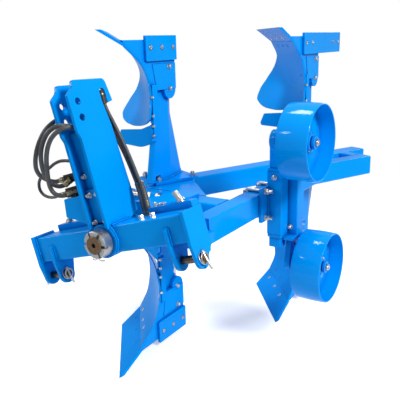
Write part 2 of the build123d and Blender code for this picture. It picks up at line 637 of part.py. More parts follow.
# ---------------------------------------------------------------- the four bodies
LEG_X = LANDSIDE_X - LEG_SET
LEG_TOP = SHAFT_Z - BEAM / 2 - CLAMP_T
FROG_T = 20.0
LS_T, LS_H, LS_Z = 12.0, 106.0, 23.0


def flip(part):
    """The same piece above the middle plane."""
    return mirror(part, about=Plane.XY.offset(SHAFT_Z), mode=Mode.PRIVATE)


def four(name, shape):
    """A front lower piece becomes a node at each of the four bodies."""
    for place, step in (("front", (0, 0, 0)), ("rear", (FURROW, SPACING, 0))):
        moved = shape.moved(Location(step))
        for level, part in (("lower", moved), ("upper", flip(moved))):
            with BuildPart() as piece:
                add(part)
            keep(f"{name}_{place}_{level}", piece)


def body(x, y, h=0.0):
    """A point of the front lower body, from its share's point."""
    return Vector(LANDSIDE_X + x, TIP_Y + y, h)


# height, landside edge, angle of the level line at its middle, length, bend along it
BOARD = [(64, 158, 38.5, 453, 0.0), (140, 264, 41.1, 410, 0.0), (220, 311, 42.0, 561, 8.8),
         (300, 320, 44.7, 654, 20.6), (380, 306, 50.6, 653, 16.4), (460, 300, 59.7, 510, 12.2)]
SPARE = 70.0             # the loft runs past the outline, which trims it


def board_solid(front, back, lead=0.0):
    """Curved plate between two offsets of the level lines, from lead before the landside edge."""
    with BuildPart() as plate:
        for h, edge, angle, length, bend in BOARD:
            first = radians(angle - bend / 2)
            run = length + SPARE
            turn = radians(bend) * run / length
            start = body(-2, edge, h)
            with BuildSketch(Plane.XY.offset(h)):
                with BuildLine():
                    rows = []
                    for offset in (front, back):
                        points = []
                        for u in (-lead / run, (1 - lead / run) / 2, 1):
                            a = first + turn * u / 2
                            reach = run * u * (sin(turn * u / 2) / (turn * u / 2) if turn * u else 1)
                            n = first + turn * u
                            points.append((start.X - sin(a) * reach + cos(n) * offset,
                                           start.Y + cos(a) * reach + sin(n) * offset))
                        rows.append(points)
                    for points in rows:
                        if turn:
                            ThreePointArc(*points)
                        else:
                            Line(points[0], points[2])
                    Line(rows[0][0], rows[1][0])
                    Line(rows[0][2], rows[1][2])
                make_face()
        loft(ruled=True)
    return plate.part


# outline as seen along the board: distance out from the share's point, height, corner radius
BOARD_EDGE = [(30, 64, 1), (30, 374, 1), (217, 374, 6), (380, 422, 200), (510, 431, 300), (646, 428, 160),
              (800, 392, 90), (878, 326, 24), (853, 268, 60), (736, 200, 120), (593, 132, 60), (561, 64, 1)]
with BuildPart() as mouldboard:
    add(board_solid(0, BOARD_T))
    with BuildSketch(Plane(origin=body(0, 0), x_dir=(-1, 1, 0), z_dir=(1, 1, 0)).offset(-900)):
        with BuildLine():
            FilletPolyline(*[(a, h) for a, h, r in BOARD_EDGE], radius=[r for a, h, r in BOARD_EDGE],
                           close=True)
        make_face()
    extrude(amount=1800, mode=Mode.INTERSECT)
four("mouldboard", mouldboard.part)
before_board = board_solid(-260, BOARD_T, lead=120)    # the board and the room before it

# height, front edge and rear edge of the leg
LEG_SECTIONS = [(160, 580, 692), (370, 568, 690), (LEG_TOP, 506, 768)]
LEG_CREASE = 655.0       # the leg gets thinner behind this line
LEG_REAR_T = 12.0
NUT_ROOM_R = 18.0
with BuildPart() as leg:
    for h, front, rear in LEG_SECTIONS:
        with BuildSketch(Plane.XY.offset(h)):
            with BuildLine():
                Polyline((LEG_X - LEG_T, front), (LEG_X, front), (LEG_X, LEG_CREASE),
                         (LEG_X - LEG_T + LEG_REAR_T, rear), (LEG_X - LEG_T, rear), close=True)
            make_face()
    loft(ruled=True)
    with BuildSketch(main_beam_plane(CLAMP_S, MAIN_N, LEG_TOP)):
        RectangleRounded(CLAMP_L, CLAMP_W, 6)
        with GridLocations(2 * BOLT_S, 2 * BOLT_N, 2, 2):
            Circle(BOLT_R + 0.5, mode=Mode.SUBTRACT)
    extrude(amount=CLAMP_T)
    # room for the nuts beside the blade's top
    with BuildSketch(main_beam_plane(CLAMP_S, MAIN_N, LEG_TOP)):
        with GridLocations(2 * BOLT_S, 2 * BOLT_N, 2, 2):
            Circle(NUT_ROOM_R)
    extrude(amount=-26, mode=Mode.SUBTRACT)
    for cutter in (before_board, mouldboard.part):
        add(cutter, mode=Mode.SUBTRACT)
four("leg", leg.part)

with BuildPart() as clamp_bolts:
    for s in (CLAMP_S, CLAMP_S + FURROW * sin(MU) + SPACING * cos(MU)):
        for ds in (-BOLT_S, BOLT_S):
            for dn in (-BOLT_N, BOLT_N):
                half = BEAM / 2 + CLAMP_T
                with BuildSketch(main_beam_plane(s + ds, MAIN_N + dn, SHAFT_Z - half - 22)):
                    Circle(BOLT_R)
                extrude(amount=2 * half + 44)
                for z, r in ((SHAFT_Z - half - 14, 15.5), (SHAFT_Z + half, 15.5)):
                    with BuildSketch(main_beam_plane(s + ds, MAIN_N + dn, z)):
                        RegularPolygon(r, 6)
                    extrude(amount=14)
keep("clamp_bolts", clamp_bolts)

SHARE = [body(0, 0, 0), body(-315, 395, 0), body(-282, 512, 64), body(0, 158, 64)]
share_plane = Plane(origin=SHARE[0], x_dir=SHARE[1] - SHARE[0],
                    z_dir=(SHARE[3] - SHARE[0]).cross(SHARE[1] - SHARE[0]))


def share_solid(thick, above):
    """The share's outline, from thick below its face to above it."""
    with BuildPart() as blade:
        with BuildSketch(share_plane.offset(above)):
            with BuildLine():
                corners = [share_plane.to_local_coords(p) for p in SHARE]
                Polyline(*[(p.X, p.Y) for p in corners], close=True)
            make_face()
        extrude(amount=-thick - above)
        split(bisect_by=Plane.XY, keep=Keep.TOP)
    return blade.part


with BuildPart() as share:
    add(share_solid(SHARE_T, 0))
    for cutter in (before_board, mouldboard.part):
        add(cutter, mode=Mode.SUBTRACT)
four("share", share.part)

# y and height of the frog's outline; the share and the board trim its front
FROG = [(330, 40), (690, 40), (690, 255), (440, 255), (400, 150)]
FROG_STEP_H, FROG_STEP = 143.0, 3.0          # the upper part stands a little proud
with BuildPart() as frog:
    with BuildSketch(cross_plane(LEG_X, 0, 0)):
        with BuildLine():
            Polyline(*FROG, close=True)
        make_face()
    extrude(amount=FROG_T)
    with BuildSketch(cross_plane(LEG_X, 0, 0)):
        with BuildLine():
            Polyline((604, 250), (604, 256), (690, 256), (690, 250), close=True)
        make_face()
        with Locations((647, 256)):
            Circle(43)
    extrude(amount=FROG_T)
    with BuildSketch(cross_plane(LEG_X + FROG_T, 0, 0)):
        with BuildLine():
            Polyline((520, FROG_STEP_H), (690, FROG_STEP_H), (690, 255), (545, 255), close=True)
        make_face()
    extrude(amount=FROG_STEP)
    for cutter in (before_board, mouldboard.part):
        add(cutter, mode=Mode.SUBTRACT)
    add(share_solid(SHARE_T, 200), mode=Mode.SUBTRACT)
four("frog", frog.part)

for place, length, step in (("front", 223.0, (0, 0, 0)), ("rear", 517.0, (FURROW, SPACING, 0))):
    with BuildPart() as landside:
        with BuildSketch(cross_plane(LANDSIDE_X - LS_T, 468, LS_Z)):
            with Locations((length / 2, LS_H / 2)):
                RectangleRounded(length, LS_H, 4)
        extrude(amount=LS_T)
    moved = landside.part.moved(Location(step))
    for level, part in (("lower", moved), ("upper", flip(moved))):
        with BuildPart() as piece:
            add(part)
        keep(f"landside_{place}_{level}", piece)

# ---- trash board, its bracket and the mouldboard's stay
TRASH_T = 6.0
TRASH_START = body(-6, 320)
TRASH_FLAT, TRASH_BEND, TRASH_REACH = 10.0, 55.0, 310.0
TRASH_TURN = radians(71)
# distance out from the landside, height, corner radius
TRASH_EDGE = [(-20, 402, 1), (40, 404, 60), (134, 437, 200), (305, 456, 10), (341, 524, 14), (134, 522, 200),
              (52, 494, 60), (-20, 462, 1)]


def trash_solid(front, back):
    """Plan of the bent strip between two offsets, front and back."""
    with BuildPart() as strip:
        with BuildSketch(Plane.XY.offset(390)):
            with BuildLine():
                sides = []
                for offset in (front, back):
                    r = TRASH_BEND + offset
                    p = TRASH_START + Vector(offset, 0)
                    q = p + Vector(0, TRASH_FLAT)
                    mid, end = [q + Vector(-r * (1 - cos(a)), r * sin(a))
                                for a in (TRASH_TURN / 2, TRASH_TURN)]
                    far = end + Vector(-sin(TRASH_TURN), cos(TRASH_TURN)) * TRASH_REACH
                    Line(p, q)
                    ThreePointArc(q, mid, end)
                    Line(end, far)
                    sides.append((p, far))
                Line(sides[0][0], sides[1][0])
                Line(sides[0][1], sides[1][1])
            make_face()
        extrude(amount=160)
    return strip.part


STAY_R = 9.0
with BuildPart() as trash_board:
    add(trash_solid(0, TRASH_T))
    with BuildSketch(Plane(origin=body(0, 0), x_dir=(-1, 0, 0), z_dir=(0, 1, 0))):
        with BuildLine():
            FilletPolyline(*[(a, h) for a, h, r in TRASH_EDGE], radius=[r for a, h, r in TRASH_EDGE],
                           close=True)
        make_face()
    extrude(amount=900, mode=Mode.INTERSECT)
with BuildPart() as stem:
    # from x, to x, from height, to height
    for x0, x1, h0, h1 in ((LEG_X + FROG_T, LANDSIDE_X + 6, 228, 398),
                           (LEG_X + FROG_T - 10, LANDSIDE_X + 6, 398, 452)):
        with BuildSketch(cross_plane(x0, 508, (h0 + h1) / 2)):
            Rectangle(36, h1 - h0)
        extrude(amount=x1 - x0)
    for cutter in (before_board, mouldboard.part):
        add(cutter, mode=Mode.SUBTRACT)
    add(trash_solid(-50, TRASH_T), mode=Mode.SUBTRACT)
stay_foot = Vector(LEG_X - LEG_T / 2, 655, 330)
stay_dir = Vector(-cos(radians(41)), -sin(radians(41)), 0)
with BuildPart() as stay:
    with BuildSketch(Plane(origin=stay_foot, z_dir=stay_dir)):
        Circle(STAY_R)
    extrude(amount=110)
    with BuildSketch(Plane(origin=stay_foot + stay_dir * 30, z_dir=stay_dir)):
        RegularPolygon(STAY_R + 6, 6)
    extrude(amount=12)
    for cutter in (before_board, mouldboard.part):
        add(cutter, mode=Mode.SUBTRACT)
    add(leg.part, mode=Mode.SUBTRACT)
with BuildPart() as trash_set:
    add(trash_board.part)
    add(stem.part)
    add(leg.part, mode=Mode.SUBTRACT)
    add(stay.part)
four("trash_board", trash_set.part)

# ---------------------------------------------------------------- depth wheels
COLUMN_Y = 702.0
COLUMN = 70.0            # outer square tube of the depth column
COLUMN_WALL = 7.0
SLIDE_GAP = 0.4
PLATE_T = 12.0           # clamp plate on the side beam
COLUMN_X = SIDE_X + 5 + COLUMN / 2
slide = COLUMN - 2 * COLUMN_WALL - 2 * SLIDE_GAP
U_ROD = 8.0
U_Z = BEAM / 2 + U_ROD + SEAT                # rods' height from the middle plane
U_YS = (COLUMN_Y - 62.0, COLUMN_Y + 62.0)
with BuildPart() as wheel_column:
    with BuildSketch(cross_plane(SIDE_X, COLUMN_Y, SHAFT_Z)):
        RectangleRounded(206, 150, 8)
        with GridLocations(U_YS[1] - U_YS[0], 2 * U_Z, 2, 2):
            Circle(U_ROD + 0.2, mode=Mode.SUBTRACT)
    extrude(amount=PLATE_T)
    with BuildSketch(Plane.XY.offset(SHAFT_Z - 140)):
        with Locations((COLUMN_X, COLUMN_Y)):
            RectangleRounded(COLUMN, COLUMN, 5)
    extrude(amount=280)
    with BuildSketch(Plane.XY.offset(SHAFT_Z - 140)):
        with Locations((COLUMN_X, COLUMN_Y)):
            Rectangle(COLUMN - 2 * COLUMN_WALL, COLUMN - 2 * COLUMN_WALL)
    extrude(amount=280, mode=Mode.SUBTRACT)
keep("wheel_column", wheel_column)

SLIDER_Z0, SLIDER_Z1 = -200.0, 265.0
with BuildPart() as wheel_slider:
    with BuildSketch(Plane.XY.offset(SHAFT_Z + SLIDER_Z0)):
        with Locations((COLUMN_X, COLUMN_Y)):
            RectangleRounded(slide, slide, 4)
            Rectangle(slide - 12, slide - 12, mode=Mode.SUBTRACT)
    extrude(amount=SLIDER_Z1 - SLIDER_Z0)
    with BuildSketch(Plane.XY.offset(SHAFT_Z + SLIDER_Z1 - 8)):
        with Locations((COLUMN_X, COLUMN_Y)):
            Rectangle(slide - 12, slide - 12)
            Circle(9, mode=Mode.SUBTRACT)
    extrude(amount=8)
    # clamp screw's block and the row of depth holes
    for z in (140.3, -140.3 - 14):
        with BuildSketch(Plane.XY.offset(SHAFT_Z + z)):
            with Locations((COLUMN_X, COLUMN_Y)):
                RectangleRounded(COLUMN - 4, COLUMN - 4, 4)
                Rectangle(slide, slide, mode=Mode.SUBTRACT)
        extrude(amount=14)
    with BuildSketch(cross_plane(COLUMN_X, COLUMN_Y, SHAFT_Z)):
        with Locations((0, 185), (0, 215), (0, 245), (0, -178)):
            Circle(7)
    extrude(amount=COLUMN, both=True, mode=Mode.SUBTRACT)
keep("wheel_slider", wheel_slider)

U_BEND = 14.0
with BuildPart() as column_clamp:
    back_x, end_x = SIDE_X - SIDE_BEAM_W - U_ROD - SEAT, SIDE_X + PLATE_T + 34
    for y in U_YS:
        path = [Vector(x, y, SHAFT_Z + z)
                for x, z in ((end_x, U_Z), (back_x, U_Z), (back_x, -U_Z), (end_x, -U_Z))]
        with BuildLine() as bent:
            FilletPolyline(*path, radius=U_BEND)
        with BuildSketch(Plane(origin=path[0], z_dir=(-1, 0, 0))):
            Circle(U_ROD)
        sweep(path=bent.wires()[0])
        for z in (-U_Z, U_Z):
            for x, r, thick in ((SIDE_X + PLATE_T, U_ROD + 7, 3), (SIDE_X + PLATE_T + 3, U_ROD + 5.5, 14)):
                with BuildSketch(cross_plane(x, y, SHAFT_Z + z)):
                    if thick > 4:
                        RegularPolygon(r, 6)
                    else:
                        Circle(r)
                extrude(amount=thick)
keep("column_clamp", column_clamp)

POST_X, POST_Y = 367.0, 778.0
POST = 70.0
POST_HALF = 153.0
with BuildPart() as wheel_post:
    with BuildSketch(Plane.XY.offset(SHAFT_Z - POST_HALF)):
        with Locations((POST_X, POST_Y)):
            RectangleRounded(POST, POST, 5)
            Rectangle(POST - 14, POST - 14, mode=Mode.SUBTRACT)
    extrude(amount=2 * POST_HALF)
    for z in (SHAFT_Z - POST_HALF - STEEL, SHAFT_Z + POST_HALF):
        with BuildSketch(Plane.XY.offset(z)):
            with BuildLine():
                Polyline((POST_X - 7, 690), (402, 690), (402, 813), (332, 813), (332, 738.5),
                         (POST_X - 7, 738.5), close=True)
            make_face()
            with Locations((POST_X, POST_Y)):
                Circle(DRAIN_R, mode=Mode.SUBTRACT)
        extrude(amount=STEEL)
keep("wheel_post", wheel_post)

ARM_PLATE = 24.0
ARM_X = POST_X
with BuildPart() as wheel_arms:
    # upper arm leans forward, lower arm hangs straight
    for sign, (ay, az), foot in ((1, UPPER_AXLE, (745, 812)), (-1, LOWER_AXLE, (740, 816))):
        with BuildSketch(cross_plane(ARM_X - ARM_PLATE / 2, 0, 0)):
            base = SHAFT_Z + sign * (POST_HALF + STEEL)
            reach = Vector(ay - sum(foot) / 2, az - base)
            side = Vector(-reach.Y, reach.X).normalized() * 42
            with BuildLine():
                Polyline((foot[0], base), (foot[1], base), Vector(ay, az) - side * sign,
                         Vector(ay, az) + side * sign, close=True)
            make_face()
            with Locations((ay, az)):
                Circle(42)
            with Locations((ay, az)):
                Circle(AXLE_D / 2, mode=Mode.SUBTRACT)
            if sign < 0:
                with Locations((POST_Y, base - 45)):
                    Circle(9, mode=Mode.SUBTRACT)
        extrude(amount=ARM_PLATE)
        with BuildSketch(Plane.XY.offset(base)):
            with Locations((ARM_X, sum(foot) / 2)):
                Rectangle(60, foot[1] - foot[0])
        extrude(amount=sign * 10)
keep("wheel_arms", wheel_arms)

RIM_LIP = 9.0
HUB_R = 34.0
DISC_X = WHEEL_X - 80.0
HUB_X0, HUB_X1 = WHEEL_X - 112.0, WHEEL_X - 40.0
AXLE_X1 = HUB_X1 + 8.0
with BuildPart() as wheel_axles:
    for ay, az in (UPPER_AXLE, LOWER_AXLE):
        with BuildSketch(cross_plane(ARM_X - ARM_PLATE / 2 - 8, ay, az)):
            Circle(AXLE_D / 2)
        extrude(amount=AXLE_X1 - ARM_X + ARM_PLATE / 2 + 8)
        # collar behind the hub and the nut that keeps it on
        for x0, x1, r in ((ARM_X + ARM_PLATE / 2, HUB_X0 - 6, 29), (HUB_X1 + 5.5, AXLE_X1 + 8, 26)):
            with BuildSketch(cross_plane(x0, ay, az)):
                Circle(r)
            extrude(amount=x1 - x0)
keep("wheel_axles", wheel_axles)

for name, (ay, az) in (("upper", UPPER_AXLE), ("lower", LOWER_AXLE)):
    with BuildPart() as wheel:
        with BuildSketch(Plane.XZ):
            # radius along X, across the wheel along Y, then turned about the axle
            with BuildLine():
                Polyline((WHEEL_R - WHEEL_SHELL, 0), (WHEEL_R - 4, 0), (WHEEL_R, 4), (WHEEL_R, WHEEL_W - 4),
                         (WHEEL_R - 4, WHEEL_W), (WHEEL_R - WHEEL_SHELL, WHEEL_W), close=True)
            make_face()
            with BuildLine():
                x0, x1, d = (v - WHEEL_X + WHEEL_W for v in (HUB_X0, HUB_X1, DISC_X))
                Polyline((AXLE_D / 2 + RUN_CLEAR, x0), (HUB_R, x0), (HUB_R, d), (WHEEL_R - WHEEL_SHELL, d),
                         (WHEEL_R - WHEEL_SHELL, d + 8), (HUB_R + 12, d + 8), (HUB_R + 12, d + 14),
                         (HUB_R, d + 14), (HUB_R, x1), (AXLE_D / 2 + RUN_CLEAR, x1), close=True)
            make_face()
        revolve(axis=Axis.Z)
    turned = wheel.part.moved(Location((WHEEL_X - WHEEL_W, ay, az), (0, 90, 0)))
    with BuildPart() as placed:
        add(turned)
    keep(f"wheel_{name}", placed)

# ================================================================ written frame
boxes = [piece.part.bounding_box() for piece in pieces.values()]
mid_x = round((min(b.min.X for b in boxes) + max(b.max.X for b in boxes)) / 2, 1)
mid_y = round((min(b.min.Y for b in boxes) + max(b.max.Y for b in boxes)) / 2, 1)
print("shift", -mid_x, -mid_y)
for name, piece in pieces.items():
    shown = piece.part.moved(Location((-mid_x, -mid_y, 0)))
    shown.label = name
    export_step(shown, f"parts/{name}.step")
    box = shown.bounding_box()
    print(name, [round(v) for v in box.min], [round(v) for v in box.max], round(shown.volume / 1000))
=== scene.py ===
# %% [markdown]
# # A two-furrow reversible plough
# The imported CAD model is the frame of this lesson. It is loaded once and never
# moved. Finishes go onto its pieces, the curved pieces are made again as smooth
# surfaces, and small hardware such as bolts, clips and weld beads is added.

# %% Load the frame
from math import cos, pi, radians, sin

import bmesh
import bpy
import numpy as np
from mathutils import Matrix, Vector


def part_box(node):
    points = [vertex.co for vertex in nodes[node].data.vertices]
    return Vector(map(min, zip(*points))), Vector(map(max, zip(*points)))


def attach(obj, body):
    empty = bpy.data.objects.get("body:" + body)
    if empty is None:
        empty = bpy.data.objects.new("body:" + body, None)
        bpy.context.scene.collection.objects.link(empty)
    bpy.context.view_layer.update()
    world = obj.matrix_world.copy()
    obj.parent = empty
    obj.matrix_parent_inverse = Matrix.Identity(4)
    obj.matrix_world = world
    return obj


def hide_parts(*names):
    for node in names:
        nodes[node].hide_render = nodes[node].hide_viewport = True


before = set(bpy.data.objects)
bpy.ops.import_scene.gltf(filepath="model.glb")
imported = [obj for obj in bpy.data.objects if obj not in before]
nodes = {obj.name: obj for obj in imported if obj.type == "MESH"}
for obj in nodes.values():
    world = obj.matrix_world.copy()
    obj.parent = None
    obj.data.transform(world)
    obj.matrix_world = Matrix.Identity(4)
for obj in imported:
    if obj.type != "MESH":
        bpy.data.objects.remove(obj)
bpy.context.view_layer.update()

# %% [markdown]
# ## Where things are
# The machine is built about its turnover shaft, so places are given from the
# floor point under that shaft, in millimetres. The headstock leans sideways
# with the tractor. Its own directions are across, rearwards and up the mast.

# %% The two sets of directions
SHAFT_FRONT = -0.114          # the shaft's front end, seen from the crossbar's middle
shaft_lo, shaft_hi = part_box("turnover_shaft")
HOME = np.array([(shaft_lo[0] + shaft_hi[0]) / 2, shaft_lo[1] - SHAFT_FRONT, 0.0])
SHAFT_Z = float(shaft_lo[2] + shaft_hi[2]) / 2 * 1000
ROLL = radians(16.0)
ACROSS, REAR, UP_MAST = np.array([[cos(ROLL), 0, sin(ROLL)], [0, 1, 0], [-sin(ROLL), 0, cos(ROLL)]])
print("zero point:", HOME.round(4), "shaft height:", round(SHAFT_Z, 1))


def machine(x, y, z):
    """Millimetres to the land side, rearwards and up from the floor, as metres in the scene."""
    return HOME + np.stack(np.broadcast_arrays(x, y, z), -1) / 1000


def hitch(t, y, v):
    """Millimetres across, rearwards and up the leaning mast from the shaft, as machine millimetres."""
    t, y, v = (np.asarray(q, float)[..., None] for q in (t, y, v))
    return np.array([0, 0, SHAFT_Z]) + t * ACROSS + y * REAR + v * UP_MAST


# %% [markdown]
# ## Surfaces as grids
# A turned piece, a hexagon head, a bent rod and a curved plate are all grids: a
# point for each pair of two parameters. They could be drawn by hand from
# primitives, but as grids each size stays a number that can be changed. One
# function joins a grid's neighbours with quads.

# %% Grids and shapes
def grid_faces(rows, columns, wrap=True):
    """Quads between neighbouring rows and columns; wrap joins the last column to the first."""
    i, j = np.meshgrid(np.arange(rows - 1), np.arange(columns if wrap else columns - 1), indexing="ij")
    k = (j + 1) % columns
    quads = np.stack([i * columns + j, i * columns + k, (i + 1) * columns + k, (i + 1) * columns + j], -1)
    return quads.reshape(-1, 4)


def turned(rows, sides=40, flats=0.0):
    """Rows (along, radius) carried round Z: (radius cos a, radius sin a, along).

    With flats given, the radius is cut to a hexagon of that width across its
    flats: flats / 2 / cos(b), where b is the angle from the nearest flat's middle.
    """
    along, radius = np.array(rows, float).T
    a = np.linspace(0, 2 * pi, sides, endpoint=False)
    r = np.repeat(radius[:, None], sides, 1)
    if flats:
        b = np.mod(a, pi / 3) - pi / 6
        r = np.minimum(r, flats / 2 / np.cos(b))
    points = np.stack([r * np.cos(a), r * np.sin(a), np.repeat(along[:, None], sides, 1)], -1)
    return points.reshape(-1, 3), grid_faces(len(along), sides)


def bent_rod(path, radius, sides=12, closed=False):
    """A circle carried along a path of points, square to the path's direction at each.

    radius is one number or one for each point. A closed path's last circle
    meets its first, and an open one's ends are drawn to a point.
    """
    path = np.asarray(path, float)
    radius = np.broadcast_to(np.asarray(radius, float), len(path))
    if closed:
        path, radius = np.vstack([path, path[:1]]), np.append(radius, radius[0])
        ahead = np.vstack([path[1:], path[1:2]]) - np.vstack([path[-2:-1], path[:-1]])
    else:
        ahead = np.gradient(path, axis=0)
    ahead /= np.linalg.norm(ahead, axis=1, keepdims=True)
    spread = np.cross(ahead, np.linalg.svd(path - path.mean(0))[2][2])
    spread /= np.linalg.norm(spread, axis=1, keepdims=True)
    other = np.cross(ahead, spread)
    a = np.linspace(0, 2 * pi, sides, endpoint=False)[None, :, None]
    circles = np.cos(a) * spread[:, None] + np.sin(a) * other[:, None]
    rings = path[:, None] + radius[:, None, None] * circles
    if not closed:
        first, last = (np.repeat(end[:, None], sides, 1) for end in (path[:1], path[-1:]))
        rings = np.concatenate([first, rings, last])
    return rings.reshape(-1, 3), grid_faces(len(rings), sides)


def slab(front, back):
    """A closed plate between two grids of points with the same rows and columns."""
    rows, columns = front.shape[:2]
    strips = [front, back] + [np.stack([front[k], back[k]]) for k in (0, -1)]
    strips += [np.stack([front[:, k], back[:, k]]) for k in (0, -1)]
    points, faces, count = [], [], 0
    for s in strips:
        points.append(s.reshape(-1, 3))
        faces.append(grid_faces(*s.shape[:2], wrap=False) + count)
        count += s.shape[0] * s.shape[1]
    return np.vstack(points), np.vstack(faces)


print("grid helpers ready")

# %% [markdown]
# ## From shapes to pieces
# Every shape is made at the zero point and then put in its place, in machine
# millimetres. Many shapes of one finish on one body are joined in one mesh, so
# that a hundred bolts are one piece.

# %% Placing and building
def placed(shape, origin, axis, side=(0.0, 0.0, 1.0)):
    """A shape with its Z along axis, its X towards side and its zero at origin.

    Everything is in machine millimetres. Where side lies too near the axis, X turns to the land side.
    """
    points, faces = shape
    z = np.asarray(axis, float) / np.linalg.norm(axis)
    side = np.asarray(side, float)
    if abs(np.dot(z, side)) >= 0.95 * np.linalg.norm(side):
        side = np.array([1.0, 0.0, 0.0])
    x = side - np.dot(side, z) * z
    x /= np.linalg.norm(x)
    return np.asarray(origin) + points @ np.array([x, np.cross(z, x), z]), faces


MERGE, SLIVER = 2e-6, 1e-6     # metres: points nearer than this are one, edges shorter are dropped


def build(name, shapes, finish, body, crease=32.0):
    """One mesh in metres of all the shapes: poles merged, faces outwards.

    Edges that bend by less than crease degrees are shaded smooth.
    """
    counts = np.cumsum([0] + [len(points) for points, _ in shapes])
    points = machine(*np.vstack([p for p, _ in shapes]).T)
    faces = np.vstack([f + c for (_, f), c in zip(shapes, counts)])
    mesh = bpy.data.meshes.new(name)
    mesh.from_pydata(points.tolist(), [], faces.tolist())
    bm = bmesh.new()
    bm.from_mesh(mesh)
    bmesh.ops.remove_doubles(bm, verts=bm.verts, dist=MERGE)
    bmesh.ops.dissolve_degenerate(bm, edges=bm.edges, dist=SLIVER)
    bmesh.ops.recalc_face_normals(bm, faces=bm.faces)
    bm.to_mesh(mesh)
    bm.free()
    mesh.polygons.foreach_set("use_smooth", np.ones(len(mesh.polygons), bool))
    mesh.set_sharp_from_angle(angle=radians(crease))
    mesh.materials.append(finish)
    piece = bpy.data.objects.new(name, mesh)
    bpy.context.scene.collection.objects.link(piece)
    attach(piece, body)
    print(name, "shapes:", len(shapes), "faces:", len(mesh.polygons))
    return piece


print("points nearer than", MERGE, "m are merged")

# %% [markdown]
# ## Colours and nodes
# Finishes are written as sRGB hex values, the way a paint chart gives them, and
# one function turns them to the linear values that the shader wants. Another
# adds a node with its settings and links, so a material reads as a short list.

# %% Colour and node helpers
def linear(hex_code, alpha=1.0):
    """sRGB hex to linear: c/12.92 below 0.04045, else ((c+0.055)/1.055)^2.4."""
    c = np.array([int(hex_code[i:i + 2], 16) for i in (1, 3, 5)]) / 255
    out = np.where(c <= 0.04045, c / 12.92, ((c + 0.055) / 1.055) ** 2.4)
    return (*out.tolist(), alpha)


def add_node(tree, kind, settings=None, **links):
    """A node of this kind with its settings, and values or sockets on its inputs.

    An input is given by its name, or by its number as i0, i1 and so on.
    """
    node = tree.nodes.new(kind)
    for key, value in (settings or {}).items():
        setattr(node, key, value)
    for key, value in links.items():
        numbered = key[0] == "i" and key[1:].isdigit()
        socket = node.inputs[int(key[1:]) if numbered else key.replace("_", " ")]
        if isinstance(value, bpy.types.NodeSocket):
            tree.links.new(value, socket)
        else:
            socket.default_value = value
    return node


def new_material(name, **uniform):
    """A material with its tree, shader and object coordinates.

    Values that are the same all over go on the shader's own sockets.
    """
    m = bpy.data.materials.new(name)
    m.use_nodes = True
    tree = m.node_tree
    shader = tree.nodes["Principled BSDF"]
    for key, value in uniform.items():
        shader.inputs[key.replace("_", " ")].default_value = value
    return m, tree, shader, add_node(tree, "ShaderNodeTexCoord").outputs["Object"]


print("helpers ready, mid blue is", [round(v, 3) for v in linear("#0080FA")])

# %% [markdown]
# ## Powder coat
# Frame, legs, bodies and headstock are welded from plate and square tube, then
# powder coated in one bright blue. Melted powder sets with a slight orange peel,
# and it draws back from sharp edges. The inner corners are darkened a little by
# ambient occlusion: painted shade. A Bevel node rounds the edges by that much for
# the light alone, so each edge catches a line of gloss while the CAD mesh stays as it is.

# %% Blue powder coat
CORNER_SHADE_REACH = 0.03       # metres: how far from an inner corner the painted shade reaches
PEEL_SIZE = 0.004       # orange peel is about 2 mm from crest to crest, drawn at 4 mm so that it shows
COAT_ROUND = 0.0022     # radius that the melted coat gives an edge


def powder_coat(name, roughness, ior, peel_lift):
    """Polyester powder coat: saturated and even, glossy, with orange peel, softly rounded edges and painted
    shade in the inner corners.
    """
    m, tree, shader, place = new_material(name, Roughness=roughness, IOR=ior)
    drift = add_node(tree, "ShaderNodeTexNoise", Vector=place, Scale=5.0, Detail=4.0)
    tone = add_node(tree, "ShaderNodeMix", {"data_type": "RGBA"}, Factor=drift.outputs["Fac"],
                    i6=linear("#008AE2"), i7=linear("#0096F0"))
    # where two plates meet, ambient occlusion darkens the colour a little: painted shade
    corner_occlusion = add_node(tree, "ShaderNodeAmbientOcclusion", {"samples": 6, "only_local": False},
                    Distance=CORNER_SHADE_REACH)
    painted_corner_shade = add_node(tree, "ShaderNodeMapRange", Value=corner_occlusion.outputs["AO"], i1=0.35, i2=0.9, i3=0.0, i4=1.0)
    coat = add_node(tree, "ShaderNodeMix", {"data_type": "RGBA"}, Factor=painted_corner_shade.outputs[0],
                    i6=linear("#005AB6"), i7=tone.outputs[2])
    tree.links.new(coat.outputs[2], shader.inputs["Base Color"])
    peel = add_node(tree, "ShaderNodeTexNoise", Vector=place, Scale=1 / PEEL_SIZE, Detail=1.0)
    rounded = add_node(tree, "ShaderNodeBevel", {"samples": 6}, Radius=COAT_ROUND)
    bump = add_node(tree, "ShaderNodeBump", Height=peel.outputs["Fac"], Strength=peel_lift, Distance=0.0006,
                    Normal=rounded.outputs["Normal"])
    tree.links.new(bump.outputs["Normal"], shader.inputs["Normal"])
    return m


# a low IOR stands for the deep colour of the real coat, which keeps its blue at grazing angles
blue = powder_coat("powder_coat_blue", 0.14, 1.15, 0.03)
# the drums and boards are rolled and pressed from smooth sheet, so their coat lies flatter
drum_blue = powder_coat("powder_coat_on_rolled_drum", 0.07, 1.22, 0.02)
board_blue = powder_coat("powder_coat_on_pressed_board", 0.16, 1.09, 0.02)
print("made", blue.name, drum_blue.name, board_blue.name)

# %% [markdown]
# ## Plated, turned and cast metals
# Bolts and nuts are zinc plated: pale grey, a little cloudy. The great shaft nut
# is zinc too, but the shaft in it is bare turned steel under a brown film of
# grease, and the lower link pins are dark with oil. Hose fittings are yellow
# passivated, the valve block and the coupler are black oxide. The same few nodes
# make them all, with the real metal's own numbers.

